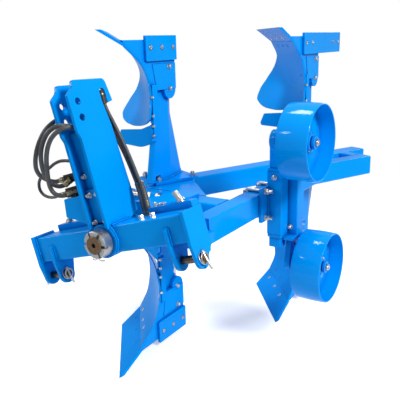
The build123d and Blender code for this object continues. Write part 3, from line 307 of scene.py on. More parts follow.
# %% Metals
def metal(name, dark, light, roughness, metallic=1.0, grain=0.011, lift=0.15, soften=0.0):
    """A metal or hard coat whose tone and gloss drift in clouds of one grain size, in metres."""
    m, tree, shader, place = new_material(name, Metallic=metallic)
    cloud = add_node(tree, "ShaderNodeTexNoise", Vector=place, Scale=1 / grain, Detail=4.0)
    tone = add_node(tree, "ShaderNodeMix", {"data_type": "RGBA"}, Factor=cloud.outputs["Fac"],
                    i6=linear(dark), i7=linear(light))
    tree.links.new(tone.outputs[2], shader.inputs["Base Color"])
    gloss = add_node(tree, "ShaderNodeMapRange", Value=cloud.outputs["Fac"],
                     i3=roughness - 0.06, i4=roughness + 0.08)
    tree.links.new(gloss.outputs["Result"], shader.inputs["Roughness"])
    bump = add_node(tree, "ShaderNodeBump", Height=cloud.outputs["Fac"], Strength=lift, Distance=0.0004)
    if soften:
        rounded = add_node(tree, "ShaderNodeBevel", {"samples": 6}, Radius=soften)
        tree.links.new(rounded.outputs["Normal"], bump.inputs["Normal"])
    tree.links.new(bump.outputs["Normal"], shader.inputs["Normal"])
    return m


zinc = metal("zinc_plated_steel", "#B2B1AC", "#E8E6E1", 0.3, soften=0.0008)
nut_zinc = metal("zinc_plated_nut", "#8F9193", "#C9CBCC", 0.4, grain=0.006, lift=0.4, soften=0.001)
turned_steel = metal("greased_turned_steel", "#54402F", "#86705A", 0.5, 0.75, soften=0.001)
passivated = metal("yellow_passivated_steel", "#6F684F", "#ABA48A", 0.36, soften=0.0008)
pin_steel = metal("oiled_pin_steel", "#3E3733", "#75695F", 0.26, soften=0.0008)
brass_cap = metal("brass_end_of_pin", "#8A6A3A", "#C09A5C", 0.4)
chrome = metal("chromed_rod", "#C8CCD0", "#E4E7EA", 0.14, grain=0.05, lift=0.02)
# the same black also rings the landside bolts, as painted shade of their countersunk recesses
black_oxide_and_recess_shade = metal("black_oxide_steel_and_painted_recess_shade", "#1B1B1A", "#343330", 0.5, 0.3, soften=0.001)
metals = (zinc, nut_zinc, turned_steel, passivated, pin_steel, brass_cap, chrome, black_oxide_and_recess_shade)
print("made", [m.name for m in metals])

# %% [markdown]
# ## Hose rubber
# Hydraulic hose has a smooth black cover, marked by the cloth that wrapped it
# while it was cured. Dust in that fine crosshatch makes it dark grey, not black.

# %% Hydraulic hose
CLOTH_MARK = 0.0015     # metres from mark to mark


def hose_cover():
    """Synthetic rubber with a wrapped finish: dark grey, dull sheen, fine cloth marks."""
    m, tree, shader, place = new_material("wrapped_hose_rubber", Roughness=0.46, Specular_IOR_Level=0.5)
    dust = add_node(tree, "ShaderNodeTexNoise", Vector=place, Scale=1 / 0.03, Detail=5.0)
    tone = add_node(tree, "ShaderNodeMix", {"data_type": "RGBA"}, Factor=dust.outputs["Fac"],
                    i6=linear("#26292B"), i7=linear("#4A4E51"))
    tree.links.new(tone.outputs[2], shader.inputs["Base Color"])
    weave = add_node(tree, "ShaderNodeTexVoronoi", {"distance": "CHEBYCHEV"}, Vector=place,
                     Scale=1 / CLOTH_MARK)
    rounded = add_node(tree, "ShaderNodeBevel", {"samples": 6}, Radius=0.003)
    bump = add_node(tree, "ShaderNodeBump", Height=weave.outputs["Distance"], Strength=0.12, Distance=0.0004,
                    Normal=rounded.outputs["Normal"])
    tree.links.new(bump.outputs["Normal"], shader.inputs["Normal"])
    return m


rubber = hose_cover()
print("made", rubber.name)

# %% [markdown]
# ## Finishes on the CAD pieces
# A CAD piece whose shape is right stays, and only gets its finish. Everything is
# blue apart from the hoses and what the short table names. Shares and trash
# boards are pressed from the same sheet as the mouldboards, so they share its coat.

# %% Which finish goes where
FINISH = {"turnover_shaft": turned_steel, "castle_nut": nut_zinc, "cylinder_rod": chrome,
          "valve_blocks": black_oxide_and_recess_shade, "hose_fittings": passivated, "width_spindle": zinc,
          "column_clamp": zinc, "clamp_bolts": zinc, "lower_link_pins": pin_steel, "stop_screws": zinc}
for name, piece in nodes.items():
    hose = name.startswith("hose_") and name != "hose_fittings"
    piece.data.materials.clear()
    flat = board_blue if name.startswith(("share", "trash_board")) else blue
    piece.data.materials.append(rubber if hose else FINISH.get(name, flat))
print("finished", len(nodes), "nodes")

# %% [markdown]
# ## Hexagon bolts
# The machine is bolted together so that worn pieces can be changed. A head is a
# profile turned about its axis and then cut to six flats, which leaves its
# chamfer as the curved line that a real head has. A washer and a bolt's end are
# turned the same way.

# %% Hexagon head, washer and bolt's end
WASHER_T, CHAMFER = 2.2, 1.2     # a washer's thickness and the chamfer on a bolt's end


def bolt_head(width, height, washer=0.0, shank=0.0, shank_r=0.0):
    """A chamfered hexagon head of this width across flats.

    It stands on a washer of that radius, if it has one, with a bolt's end on top if that shows.
    """
    reach = width / np.sqrt(3)
    lift = WASHER_T if washer else 0.0
    top = lift + height
    head = [(lift, 0), (lift, reach), (top - 1.8, reach), (top, width / 2 - 0.6), (top, 0)]
    shapes = [turned(head, 24, flats=width)]
    if washer:
        disc = [(0, 0), (0, washer), (lift - 0.5, washer), (lift, washer - 0.5), (lift, 0)]
        shapes.append(turned(disc, 28))
    if shank:
        tip = top + shank
        shapes.append(turned([(top, 0), (top, shank_r), (tip - CHAMFER, shank_r),
                              (tip, shank_r - CHAMFER), (tip, 0)], 20))
    return shapes


def bolted(at, axis, side=(0.0, 0.0, 1.0), **sizes):
    """A bolt head of those sizes, standing at a point along an axis."""
    return [placed(shape, at, axis, side) for shape in bolt_head(**sizes)]


print("bolt helpers ready")

# %% [markdown]
# ## Wheels
# Each depth wheel is a rolled steel drum, slightly crowned so that soil doesn't
# ride on its edge, with a disc welded inside it and a hub on the disc. It is one
# closed profile turned about the axle. The lips are half round, which no chamfer
# in the CAD piece gives, and that round edge is where the drum's gloss shows.

# %% Turned drums
WHEELS = {"upper": (594.0, 1027.0), "lower": (758.0, 452.0)}      # axle's place rearwards and up
RIM_IN, RIM_OUT, RIM_R, SHELL, CROWN = 431.0, 561.0, 155.0, 6.0, 2.5
DISC_IN, DISC_OUT, HUB_IN, HUB_OUT, HUB_R, BORE_R = 481.0, 489.0, 449.0, 521.0, 34.0, 20.05
FLANGE_T, FLANGE_R = 8.0, 64.0                                    # the hub's flange on the disc
HUB_BOLTS, BOLT_CIRCLE, FIRST_BOLT = 5, 48.0, 0.4                 # count, radius, angle of the first


def drum_profile():
    """Closed (across, radius) line: crowned tread R - c k^2, half-round lips, disc, flange, hub and bore."""
    k = np.linspace(-1, 1, 15)[1:-1]
    middle, half = (RIM_IN + RIM_OUT) / 2, (RIM_OUT - RIM_IN) / 2
    tread = np.stack([middle + k * half, RIM_R - CROWN * k * k], 1)
    lip = np.linspace(pi / 2, -pi / 2, 9)
    lip_r, lip_mid = SHELL / 2, RIM_R - CROWN - SHELL / 2
    outer_lip = np.stack([RIM_OUT - lip_r + lip_r * np.cos(lip), lip_mid + lip_r * np.sin(lip)], 1)
    inner_lip = np.stack([RIM_IN + lip_r - lip_r * np.cos(lip), lip_mid - lip_r * np.sin(lip)], 1)
    inside = RIM_R - CROWN - SHELL
    flange = DISC_OUT + FLANGE_T
    outer_side = [(DISC_OUT + 6, inside), (DISC_OUT + 2, inside - 2), (DISC_OUT, inside - 6),
                  (DISC_OUT, FLANGE_R), (DISC_OUT + 1, FLANGE_R - 2), (flange - 1, FLANGE_R - 3),
                  (flange, FLANGE_R - 4), (flange, HUB_R + 5), (flange + 2, HUB_R + 1.5), (flange + 6, HUB_R)]
    hub = [(HUB_OUT - 3, HUB_R), (HUB_OUT, HUB_R - 3), (HUB_OUT, BORE_R + 1.5), (HUB_OUT - 1.5, BORE_R),
           (HUB_IN + 1.5, BORE_R), (HUB_IN, BORE_R + 1.5), (HUB_IN, HUB_R - 2), (HUB_IN + 2, HUB_R)]
    inner_side = [(DISC_IN - 5, HUB_R), (DISC_IN, HUB_R + 5), (DISC_IN, inside - 6),
                  (DISC_IN - 2, inside - 2), (DISC_IN - 6, inside)]
    return np.vstack([tread, outer_lip, outer_side, hub, inner_side, inner_lip, tread[:1]])


LANDWARD = (1, 0, 0)
for name, (axle_y, axle_z) in WHEELS.items():
    middle = np.array([0.0, axle_y, axle_z])
    drum = build("drum_" + name, [placed(turned(drum_profile(), 128), middle, LANDWARD)], drum_blue,
                 name + "_wheel")
    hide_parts("wheel_" + name)
    hub_bolts = []
    for turn in np.arange(HUB_BOLTS) * 2 * pi / HUB_BOLTS + FIRST_BOLT:
        outwards = np.array([0.0, cos(turn), sin(turn)])
        at = middle + BOLT_CIRCLE * outwards + np.array([DISC_OUT + FLANGE_T, 0, 0])
        hub_bolts += bolted(at, LANDWARD, outwards, width=17, height=8, washer=12, shank=3, shank_r=5)
    build("hub_bolts_" + name, hub_bolts, zinc, name + "_wheel")

# %% [markdown]
# ## Mouldboards
# A mouldboard turns the furrow slice over, so its level lines swing from along
# the travel at the bottom to across it at the top, and bend more towards the
# wing. The CAD piece joins six of those lines with ruled strips, which show as
# creases in the gloss. Here the same six lines are joined smoothly.

# %% Mouldboard surface
# one column for each level line
LEVELS = np.array([64.0, 140, 220, 300, 380, 460])         # its height
EDGE_Y = np.array([158.0, 264, 311, 320, 306, 300])        # its start, behind the share's point
SWING = np.radians([38.5, 41.1, 42.0, 44.7, 50.6, 59.7])   # its angle to the travel, at its middle
LENGTH = np.array([453.0, 410, 561, 654, 653, 510])
BEND = np.radians([0.0, 0, 8.8, 20.6, 16.4, 12.2])         # how far it bends along its length
POINT = np.array([-174.0, 162.0])                          # the front share's point
PLATE = 8.0
FURROW, SPACING = 370.0, 810.0                             # from one body to the next, across and along
# name: landwards, rearwards, turned over
BODIES = {"front_lower": (0.0, 0.0, False), "rear_lower": (FURROW, SPACING, False),
          "front_upper": (0.0, 0.0, True), "rear_upper": (FURROW, SPACING, True)}


def level_value(values, h):
    """Smooth value between level lines.

    On each step it is the cubic through both ends that has the slopes of their neighbours.
    """
    slope = np.gradient(values, LEVELS)
    k = np.clip(np.searchsorted(LEVELS, h, side="right") - 1, 0, len(LEVELS) - 2)
    step = LEVELS[k + 1] - LEVELS[k]
    u = (h - LEVELS[k]) / step
    return ((2 * u**3 - 3 * u**2 + 1) * values[k] + (u**3 - 2 * u**2 + u) * step * slope[k]
            + (3 * u**2 - 2 * u**3) * values[k + 1] + (u**3 - u**2) * step * slope[k + 1])


def board_face(s, h):
    """Point s along the level line at height h: an arc of turn c s that leaves the edge at angle a.

    Its chord is s sin(c s / 2) / (c s / 2) long, at angle a + c s / 2 from the travel.
    """
    curve = level_value(BEND / LENGTH, h)
    first = level_value(SWING - BEND / 2, h)
    turn = curve * s
    chord, angle = s * np.sinc(turn / 2 / pi), first + turn / 2
    x = POINT[0] - 2 - np.sin(angle) * chord
    y = POINT[1] + level_value(EDGE_Y, h) + np.cos(angle) * chord
    return np.stack(np.broadcast_arrays(x, y, h), -1)


def board_normal(s, h):
    """Unit normal towards the furrow side: the cross product of the two differences of board_face."""
    n = np.cross(board_face(s + 1, h) - board_face(s - 1, h), board_face(s, h + 1) - board_face(s, h - 1))
    n /= np.linalg.norm(n, axis=-1, keepdims=True)
    return n * np.sign(-(n[..., :1] * 0.75 + n[..., 1:2] * 0.66))


middle_of_board = board_face(LENGTH[2] / 2, LEVELS[2])
print("middle of the front lower board:", middle_of_board.round(1))

# %% [markdown]
# ## Mouldboard outline
# The smooth surface is cut to the board's outline: a foot along the share, a
# straight landside edge, a wing with round corners, and a crest. Cutting a mesh
# would leave ragged edges, so instead each level line is spread between the two
# places where the outline crosses it, and the grid itself has the outline's shape.

# %% Outline and grid
def rounded_line(corners, cuts, steps=9):
    """A line of corners, each cut back by its own length and bridged by a quadratic curve."""
    p = np.array(corners, float)
    cut = np.array(cuts, float)[1:-1, None]
    back, on = p[:-2] - p[1:-1], p[2:] - p[1:-1]
    a = p[1:-1] + back / np.linalg.norm(back, axis=1, keepdims=True) * cut
    b = p[1:-1] + on / np.linalg.norm(on, axis=1, keepdims=True) * cut
    w = np.linspace(0, 1, steps)[None, :, None]
    curve = (1 - w)**2 * a[:, None] + 2 * w * (1 - w) * p[1:-1, None] + w**2 * b[:, None]
    return np.vstack([p[:1], curve.reshape(-1, 2), p[-1:]])


# the outline's corners, as (distance out from the share's point, height), and the cut at each:
# up the wing from its foot to its top, and along the crest from the landside edge to the same point
WING = rounded_line([(561, 64), (593, 132), (736, 200), (853, 268), (878, 326), (800, 392), (646, 428),
                     (512, 431)], [0, 36, 66, 31, 31, 50, 66, 0])
CREST = rounded_line([(217, 374), (380, 422), (512, 431)], [0, 100, 0])
FOOT_H, TOP_H, CREST_H = 64.0, 430.8, 374.0     # the board's foot and top, and where its crest begins
REACH = 780.0                                   # longer than any level line inside the outline
ROWS, COLUMNS = 72, 64


def board_grid():
    """Rows of level lines, closer towards the crest, each spread between the outline's two sides."""
    h = FOOT_H + (TOP_H - FOOT_H) * np.sin(np.linspace(0, pi / 2, ROWS))
    h = np.sort(np.append(h, CREST_H - 0.5))
    s = np.linspace(0, REACH, 400)
    out = (board_face(s[None], h[:, None])[..., :2] - POINT) @ np.array([-1, 1]) / np.sqrt(2)
    far = np.interp(h, WING[:, 1], WING[:, 0])
    near = np.where(h > CREST_H, np.interp(h, CREST[:, 1], CREST[:, 0]), 0)
    ends = np.array([[np.interp(n, o, s), np.interp(f, o, s)] for n, f, o in zip(near, far, out)])
    w = np.linspace(0, 1, COLUMNS)[None]
    return ends[:, :1] * (1 - w) + ends[:, 1:] * w, np.repeat(h[:, None], COLUMNS, 1)


print("outline points:", len(WING) + len(CREST), "grid:", ROWS + 1, "by", COLUMNS)

# %% [markdown]
# ## Four boards
# The machine carries two bodies below its beams and the same two, turned over in
# the plane of its shaft, above them. So one board is made and placed four times.

# %% Moved and turned over
def at_body(shapes, body):
    """The front lower body's shapes moved to another body, or turned over in the frame's middle plane.

    Turning over mirrors a shape, and build makes its faces point outwards again.
    """
    x, y, upper = body
    flip = np.array([1, 1, -1.0 if upper else 1.0])
    shift = np.array([x, y, 2 * SHAFT_Z if upper else 0.0])
    return [(points * flip + shift, faces) for points, faces in shapes]


s_grid, h_grid = board_grid()
face = board_face(s_grid, h_grid)
plate = slab(face, face - PLATE * board_normal(s_grid, h_grid))
for name, body in BODIES.items():
    skin = build("mouldboard_skin_" + name, at_body([plate], body), board_blue, "frame")
    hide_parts("mouldboard_" + name)

# %% [markdown]
# ## Bolts on the bodies
# Share, board, frog and landside are wear parts, so each is held by bolts that
# can be undone. On faces that soil slides over they are plough bolts, flush with
# the surface, and on the rest they are ordinary hexagon heads. All the bolts of
# one body are built at the front lower one and then moved or turned over.

# %% Plough bolts and hexagon bolts
FLUSH = turned([(0, 0), (0, 9.5), (0.8, 9.2), (1.2, 8.2), (1.2, 3.4), (-0.6, 3.2), (-0.6, 0)], 24)
SHARE_ALONG = np.array([-315.0, 395.0, 0.0]) / np.hypot(315, 395)
SHARE_UP = np.array([0.656, 0.523, 0.545])                             # up its face, one unit long
SHARE_OUT = np.cross(SHARE_UP, SHARE_ALONG)
SHARE_OUT *= np.sign(SHARE_OUT[2])
SHARE_TIP = np.array([*POINT, 0.0])
SHARE_BOLTS = ((225, 89), (344, 90), (474, 88))                        # along the share, up its face
FOOT_BOLTS = ((143.0, 86.0), (226.0, 85.0), (331.0, 88.0))             # along the level line, height
EDGE_BOLTS = ((60.0, 236.0), (62.0, 322.0))
FROG_BOLTS = ((-186, 641, 253), (-183, 637, 157))                      # landwards, rearwards, up
LEG_STUDS = ((-170, 488, 280), (-170, 486, 360), (-170, 487, 404), (-170, 487, 446))
LANDSIDE_HOLES = {"front": (502, 582, 664), "rear": (497, 583, 883, 966)}     # rearwards
LANDSIDE_MID = 74.0                                                    # height of that row
# a thin black ring round each landside bolt: painted shade of its countersunk recess
RECESS_SHADE_RING = turned([(-0.2, 9), (-0.2, 12), (0.35, 11.6), (0.35, 9), (-0.2, 9)], 28)


def share_bolts():
    """Three in a row below the share's upper edge."""
    return [placed(FLUSH, SHARE_TIP + a * SHARE_ALONG + w * SHARE_UP, SHARE_OUT) for a, w in SHARE_BOLTS]


def board_bolts():
    """Three along the board's foot, with nuts behind, and two up its landside edge.

    Each stands square to the curved face.
    """
    shapes = []
    for place in FOOT_BOLTS + EDGE_BOLTS:
        s, h = np.array(place)
        at, out = board_face(s, h), board_normal(s, h)
        shapes.append(placed(FLUSH, at, out))
        if place in FOOT_BOLTS:
            shapes += bolted(at - PLATE * out, -out, width=19, height=9, shank=5, shank_r=6)
    return shapes


def body_bolts(holes):
    """The other bolts of the front lower body, with its landside's own row of holes."""
    shapes = [placed(FLUSH, (POINT[0] + 0.4, y, LANDSIDE_MID), LANDWARD) for y in holes]
    for at in FROG_BOLTS:
        shapes += bolted(at, LANDWARD, width=18, height=9, washer=12, shank=4, shank_r=6)
    for at in LEG_STUDS:
        shapes += bolted(at, LANDWARD, width=13, height=7, shank=3, shank_r=4)
    return shapes


# on the rear bodies the share's bolts are bare and the board's are painted over, and the reverse in front
for name, body in BODIES.items():
    holes = LANDSIDE_HOLES[name.split("_")[0]]
    at_rear = name.startswith("rear")
    bare = body_bolts(holes) + (share_bolts() if at_rear else board_bolts())
    painted = board_bolts() if at_rear else share_bolts()
    build("body_bolts_" + name, at_body(bare, body), zinc, "frame")
    build("painted_bolts_" + name, at_body(painted, body), blue, "frame")
    # black rings round the landside bolts: painted shade of the countersunk recesses
    recess_shade_rings = [placed(RECESS_SHADE_RING, (POINT[0], y, LANDSIDE_MID), LANDWARD) for y in holes]
    build("painted_recess_shade_" + name, at_body(recess_shade_rings, body), black_oxide_and_recess_shade, "frame")

# %% [markdown]
# ## Pins, rings and clips
# A lower link pin is kept in its ears by a linch pin: a short peg through the
# pin's end, with a sprung ring that snaps over it. The rings are wire, so each
# is a circle carried along a path. The bolts of the mast's webs and the ring
# that the hoses pass beside are here too, because they ride on the headstock.

# %% Linch pins and bolts of the headstock
PIN_Y, PIN_V, PIN_R = -19.0, -112.0, 14.0     # the lower link pins' line, behind and below the shaft
PEG_Y, PEG_V = PIN_Y - 1, PIN_V + 20          # top of the peg that goes through a pin's end
RING_Y, RING_V = PIN_Y - 11, PIN_V + 2        # middle of its ring, which hangs in front
WIRE_R = 1.5
ring_turn = np.linspace(0, 2 * pi, 33)[:-1]


def linch_pin(t, sign):
    """A peg down through the link pin's end at t, and its ring hanging in front.

    The ring is an oval of 17 by 20 mm that leans 5 mm towards sign.
    """
    lean = 0.4 * sign * ACROSS - 0.1 * REAR - UP_MAST
    peg = turned([(0, 0), (0, 4.5), (58, 4.5), (63, 2), (63, 0)], 16)
    head = turned([(-6, 0), (-6, 6), (-1, 7), (3, 7), (3, 0)], 20)
    loop = hitch(t + sign * 5 * np.sin(ring_turn), RING_Y - 17 * np.cos(ring_turn),
                 RING_V - 20 * np.sin(ring_turn))
    top = hitch(t, PEG_Y, PEG_V)
    return [placed(peg, top, lean), placed(head, top, lean), bent_rod(loop, WIRE_R, 8, closed=True)]


# across, and the side that its ring leans to
LINCH_PINS = ((386, 1), (276, -1), (-276, 1), (-386, -1))
# across, rearwards, up the mast
WEB_BOLTS = ((-29, -34, 240), (-19, -44, 171), (28, -44, 71), (29, -34, 240), (22, -44, 171), (-28, -44, 71))
HOSE_BOLTS = ((143, 10, 50), (184, 24, 50))   # on the crossbar, in front of the rear hoses
hitch_hardware = []
for t, sign in LINCH_PINS:
    hitch_hardware += linch_pin(t, sign)
for at in WEB_BOLTS:
    hitch_hardware += bolted(hitch(*at), -REAR, UP_MAST, width=16, height=8, washer=11, shank=7, shank_r=5)
for at in HOSE_BOLTS:
    hitch_hardware += bolted(hitch(*at), UP_MAST, width=19, height=9, washer=13)
eye_ring = hitch(176 + 17 * np.cos(ring_turn), 96 + 15 * np.sin(ring_turn), 76.5 + 0 * ring_turn)
stud = turned([(0, 0), (0, 7), (12, 7), (14, 5), (14, 0)], 18)
hitch_hardware += [bent_rod(eye_ring, 2.2, 8, closed=True), placed(stud, hitch(162, 78, 74), UP_MAST)]
build("headstock_hardware", hitch_hardware, zinc, "headstock")

# %% Ends and washers of the lower link pins
PIN_END, EAR_OUT, EAR_IN = 390.0, 386.2, 274.8     # along the pin: its end, the ears' two outer faces
pin_cap = turned([(-0.5, 0), (-0.5, 12), (1.2, 11), (1.2, 0)], 28)
caps = [placed(pin_cap, hitch(sign * PIN_END, PIN_Y, PIN_V), sign * ACROSS) for sign in (-1, 1)]
build("link_pin_ends", caps, brass_cap, "headstock")

bore, rim = PIN_R + 0.1, 21.6
washer = turned([(0, bore), (0, rim), (1.6, rim), (2.4, rim - 0.8), (2.4, bore), (0, bore)], 36)
washers = [placed(washer, hitch(sign * t, PIN_Y, PIN_V), sign * way * ACROSS)
           for sign in (-1, 1) for t, way in ((EAR_OUT, 1), (EAR_IN, -1))]
build("link_pin_washers", washers, zinc, "headstock")

# %% [markdown]
# ## Shaft end and nut crown
# The turnover shaft's end is the face of the machine: bare turned steel with a
# drilled centre, a little swaged over the nut. It is one profile turned about
# the shaft's axis. The nut's slots are half filled by its collar.

# %% Shaft and nut collar
REARWARD = (0, 1, 0)
shaft_middle = (0, 0, SHAFT_Z)
rear_end = float(shaft_hi[1] - HOME[1]) * 1000
shaft_rows = [(-98, 0), (-98, 9), (-112.5, 9), (-114, 10.5), (-114, 31), (-112.6, 32.6), (-109.2, 33),
              (-109.2, 30), (rear_end - 2, 30), (rear_end, 28), (rear_end, 0)]
shaft = build("shaft_turned", [placed(turned(shaft_rows, 96), shaft_middle, REARWARD)], turned_steel,
              "frame")
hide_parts("turnover_shaft")
collar = turned([(-101, 30.2), (-101, 45), (-100, 46), (-91, 46), (-91, 30.2), (-101, 30.2)], 72)
build("nut_collar", [placed(collar, shaft_middle, REARWARD)], nut_zinc, "frame")

# %% [markdown]
# ## Hose sleeves and coupler
# Both rear hoses end in rubber sleeves that keep stones off their fittings. A
# sleeve is a circle carried along the hose's last stretch, with a slight ripple
# in its radius. The coupler parked in the mast has a black body with a groove,
# a profile turned about the coupler's own line.

# %% Sleeves and coupler
SLEEVE_R, SLEEVE_STEP = 10.6, 17.0      # radius, and the distance from one sleeve to the next
SLEEVE_KNOTS = np.array([(88, 101, 166), (99, 91, 128), (104, 84, 100), (104, 84, 78), (104, 84, 60)], float)
knot = np.arange(len(SLEEVE_KNOTS))
along = np.linspace(0, knot[-1], 40)
sleeves = []
for out in (0.0, SLEEVE_STEP):
    t, y, v = (np.interp(along, knot, column) for column in SLEEVE_KNOTS.T)
    sleeves.append(bent_rod(hitch(t + out, y, v), SLEEVE_R + 0.3 * np.sin(along * 18), 20))
build("hose_sleeves", sleeves, rubber, "headstock", crease=50)
coupler_rows = [(477.5, 0), (477.5, 10.9), (492, 10.9), (492.3, 12.4), (504, 12.4), (504.5, 10.4),
                (511, 10.4), (512, 9.2), (515, 9.2), (516, 10.4), (522, 10.4), (522.3, 8.4),
                (529.5, 8.4), (529.5, 0)]
build("coupler_cap", [placed(turned(coupler_rows, 40), hitch(40, 98, 0), UP_MAST)], black_oxide_and_recess_shade,
      "headstock")

# %% [markdown]
# ## Split pin
# A split pin through two slots of the shaft's nut keeps the nut from turning.
# Its two legs come down out of the lower slot and are bent apart.

# %% Split pin of the shaft's nut
PIN_LEGS = (((-3, -92, 688), (-3, -95, 682), (-5, -96, 677), (-12, -97, 674), (-24, -96, 676)),
            ((3, -92, 688), (3, -94, 681), (5, -92, 676), (12, -88, 673), (22, -84, 674)))
build("split_pin", [bent_rod(leg, 2.4, 10) for leg in PIN_LEGS], zinc, "frame")

# %% [markdown]
# ## Weld beads
# The headstock, yoke and legs are fillet welded. A bead is a round rod laid in
# the corner with a ripple along it, where each pulse of the arc froze. The
# ripple is 5 mm long here, a little coarser than the real 3 mm, so that it shows.

# %% Fillet welds
def bead(corners, radius=4.5, ripple=5.0):
    """A rod through the corners, its radius r (1 + 0.12 sin(2 pi d / ripple)) at distance d."""
    corners = np.array(corners, float)
    runs = np.linalg.norm(np.diff(corners, axis=0), axis=1)
    knots = np.concatenate([[0], np.cumsum(runs)])
    d = np.arange(0, knots[-1] + 1.2, 1.25)
    path = np.stack([np.interp(d, knots, corners[:, k]) for k in range(3)], 1)
    return bent_rod(path, radius * (1 + 0.12 * np.sin(2 * pi * d / ripple)), 8)


def arc(centre, first, second, radius, a0, a1, steps=40):
    """Points of an arc round centre, in the plane of two unit directions."""
    a = np.linspace(a0, a1, steps)[:, None]
    return np.asarray(centre) + radius * (np.cos(a) * first + np.sin(a) * second)


# %% Welds of the headstock
BAR = 51.5                              # the beads' line round the crossbar, just off its faces
EAR_LINES = (279, 295)                  # across: both sides of an inner ear's foot
PLATE_LINE = 366                        # across: inside of the end plate
headstock_welds = [bead([hitch(s * 48, -46, BAR), hitch(s * 48, 60, BAR)]) for s in (-1, 1)]
headstock_welds += [bead([hitch(s * 46, -52, 52), hitch(s * 46, -52, 8)], 4) for s in (-1, 1)]
boss_spans = ((-0.95, 0.95), (pi - 0.95, pi + 0.95))
headstock_welds += [bead(arc(hitch(0, y, 0), ACROSS, UP_MAST, 63, *span), 4.5)
                    for y in (-BAR, BAR) for span in boss_spans]
for s in (-1, 1):
    for t in EAR_LINES:
        ear = [(s * t, -BAR, 12), (s * t, -BAR, -48), (s * t, 34, -BAR)]
        headstock_welds.append(bead([hitch(*at) for at in ear], 4))
    end_plate = [(s * PLATE_LINE, -BAR, 50), (s * PLATE_LINE, -BAR, -48), (s * PLATE_LINE, 46, -BAR)]
    headstock_welds.append(bead([hitch(*at) for at in end_plate], 4))
    headstock_welds.append(bead([hitch(s * PLATE_LINE, -48, BAR), hitch(s * PLATE_LINE, 44, BAR)], 4))
build("headstock_welds", headstock_welds, blue, "headstock", crease=60)

# %% Welds of the frame
FOOT_Z = 667.5                          # underside of a lower leg's clamp plate, where its bead runs
leg_foot = [(x, y, FOOT_Z) for x, y in ((-204, 507), (-204, 655), (-222, 768), (-238, 768), (-238, 507),
                                        (-204, 507))]
frame_welds = []
for body in BODIES.values():
    frame_welds += at_body([bead(leg_foot, 4)], body)
column_welds = [[(299.5, y, 662), (299.5, y, 808)] for y in (665.5, 738.5)]
column_welds += [[(x, 746, SHAFT_Z + s * 166.5), (x, 812, SHAFT_Z + s * 166.5)]
                 for x in (353.5, 380.5) for s in (-1, 1)]
frame_welds += [bead(line, 4) for line in column_welds]
# four beads round the shaft's hub, with a gap between each two
frame_welds += [bead(arc((0, 181.5, SHAFT_Z), np.array([1.0, 0, 0]), np.array([0, 0, 1.0]), 54,
                         a, a + pi / 2 - 0.3), 4.5) for a in np.arange(4) * pi / 2 + 0.15]
build("frame_welds", frame_welds, blue, "frame", crease=60)

# %% [markdown]
# ## Bolts of the depth wheels' column
# A hexagon bolt at the column's foot and one at its top lock its setting, and a
# nut closes each wheel's axle. The axle and its nut stand still while the drum
# turns, so these bolts all ride on the frame.

# %% Column bolts and axle nuts
FRONTWARD = (0, -1, 0)
AXLE_END = 537.0                        # landwards: the face that an axle's nut sits on
column_bolts = bolted((368, 743, 616), FRONTWARD, width=19, height=10, washer=13, shank=5, shank_r=6)
column_bolts += bolted((326, 667, 850), FRONTWARD, width=19, height=10, washer=12, shank=6, shank_r=6)
for axle_y, axle_z in WHEELS.values():
    column_bolts += bolted((AXLE_END, axle_y, axle_z), LANDWARD, width=27, height=9, shank=4, shank_r=8)
build("column_hardware", column_bolts, zinc, "frame")

# %% [markdown]
# ## Camera
# The camera stands high in front of the headstock, a little rolled, and looks
# back along the plough. Its axes are worked out from three angles, so each can
# be changed by itself.

# %% Camera
AZIMUTH, ELEVATION, TILT = radians(32.86), radians(15.42), radians(-1.51)
EYE = machine(1352.3, -1509.4, 1418.3)
LENS, SENSOR, FAR_CLIP = 51.83, 36.0, 50.0
back = np.array([sin(AZIMUTH) * cos(ELEVATION), -cos(AZIMUTH) * cos(ELEVATION), sin(ELEVATION)])
right = np.array([cos(AZIMUTH), sin(AZIMUTH), 0.0])
up = np.cross(back, right)
axes = np.eye(4)
axes[:3, :4] = np.column_stack([cos(TILT) * right + sin(TILT) * up, cos(TILT) * up - sin(TILT) * right,
                                back, EYE])
camera = bpy.data.objects.new("camera", bpy.data.cameras.new("camera"))
camera.data.lens = LENS
camera.data.sensor_width = SENSOR
camera.data.clip_end = FAR_CLIP
camera.matrix_world = Matrix(axes.tolist())
bpy.context.scene.collection.objects.link(camera)
bpy.context.scene.camera = camera
bpy.context.scene.view_settings.view_transform = "Standard"
print("camera at", EYE.round(3))

# %% [markdown]
# ## Floor and background
# The floor is pale and matt. It turns clear before its edge, so that no horizon
# shows, and what the camera sees of it gets a little glow, which lightens it
# without more light on the plough. Its shadow stays. The world is white for the
# camera and through clear things, dimmer in reflections, and dimmer still as a
# light, so that the lamps do the modelling.

# %% Floor that fades out
FLOOR, FADE_FROM, FADE_TO = 12.0, 1.6, 3.4      # metres: half its side, and where it turns clear
FLOOR_GLOW = 0.42
floor_mesh = bpy.data.meshes.new("floor")
below = machine(0, 800, -0.5)
floor_mesh.from_pydata([(below + np.array([i * FLOOR, j * FLOOR, 0])).tolist()
                        for i, j in ((-1, -1), (1, -1), (1, 1), (-1, 1))], [], [(0, 1, 2, 3)])
floor = bpy.data.objects.new("floor", floor_mesh)
bpy.context.scene.collection.objects.link(floor)
floor_paint, tree, shader, place = new_material("matt_studio_floor", Roughness=0.95, Specular_IOR_Level=0.0)
shader.inputs["Base Color"].default_value = linear("#F6F7F8")
clear = add_node(tree, "ShaderNodeBsdfTransparent")
away = add_node(tree, "ShaderNodeVectorMath", {"operation": "LENGTH"}, Vector=place)
fade = add_node(tree, "ShaderNodeMapRange", Value=away.outputs["Value"], i1=FADE_FROM, i2=FADE_TO,
                i3=0.0, i4=1.0)
looked_at = add_node(tree, "ShaderNodeLightPath").outputs["Is Camera Ray"]
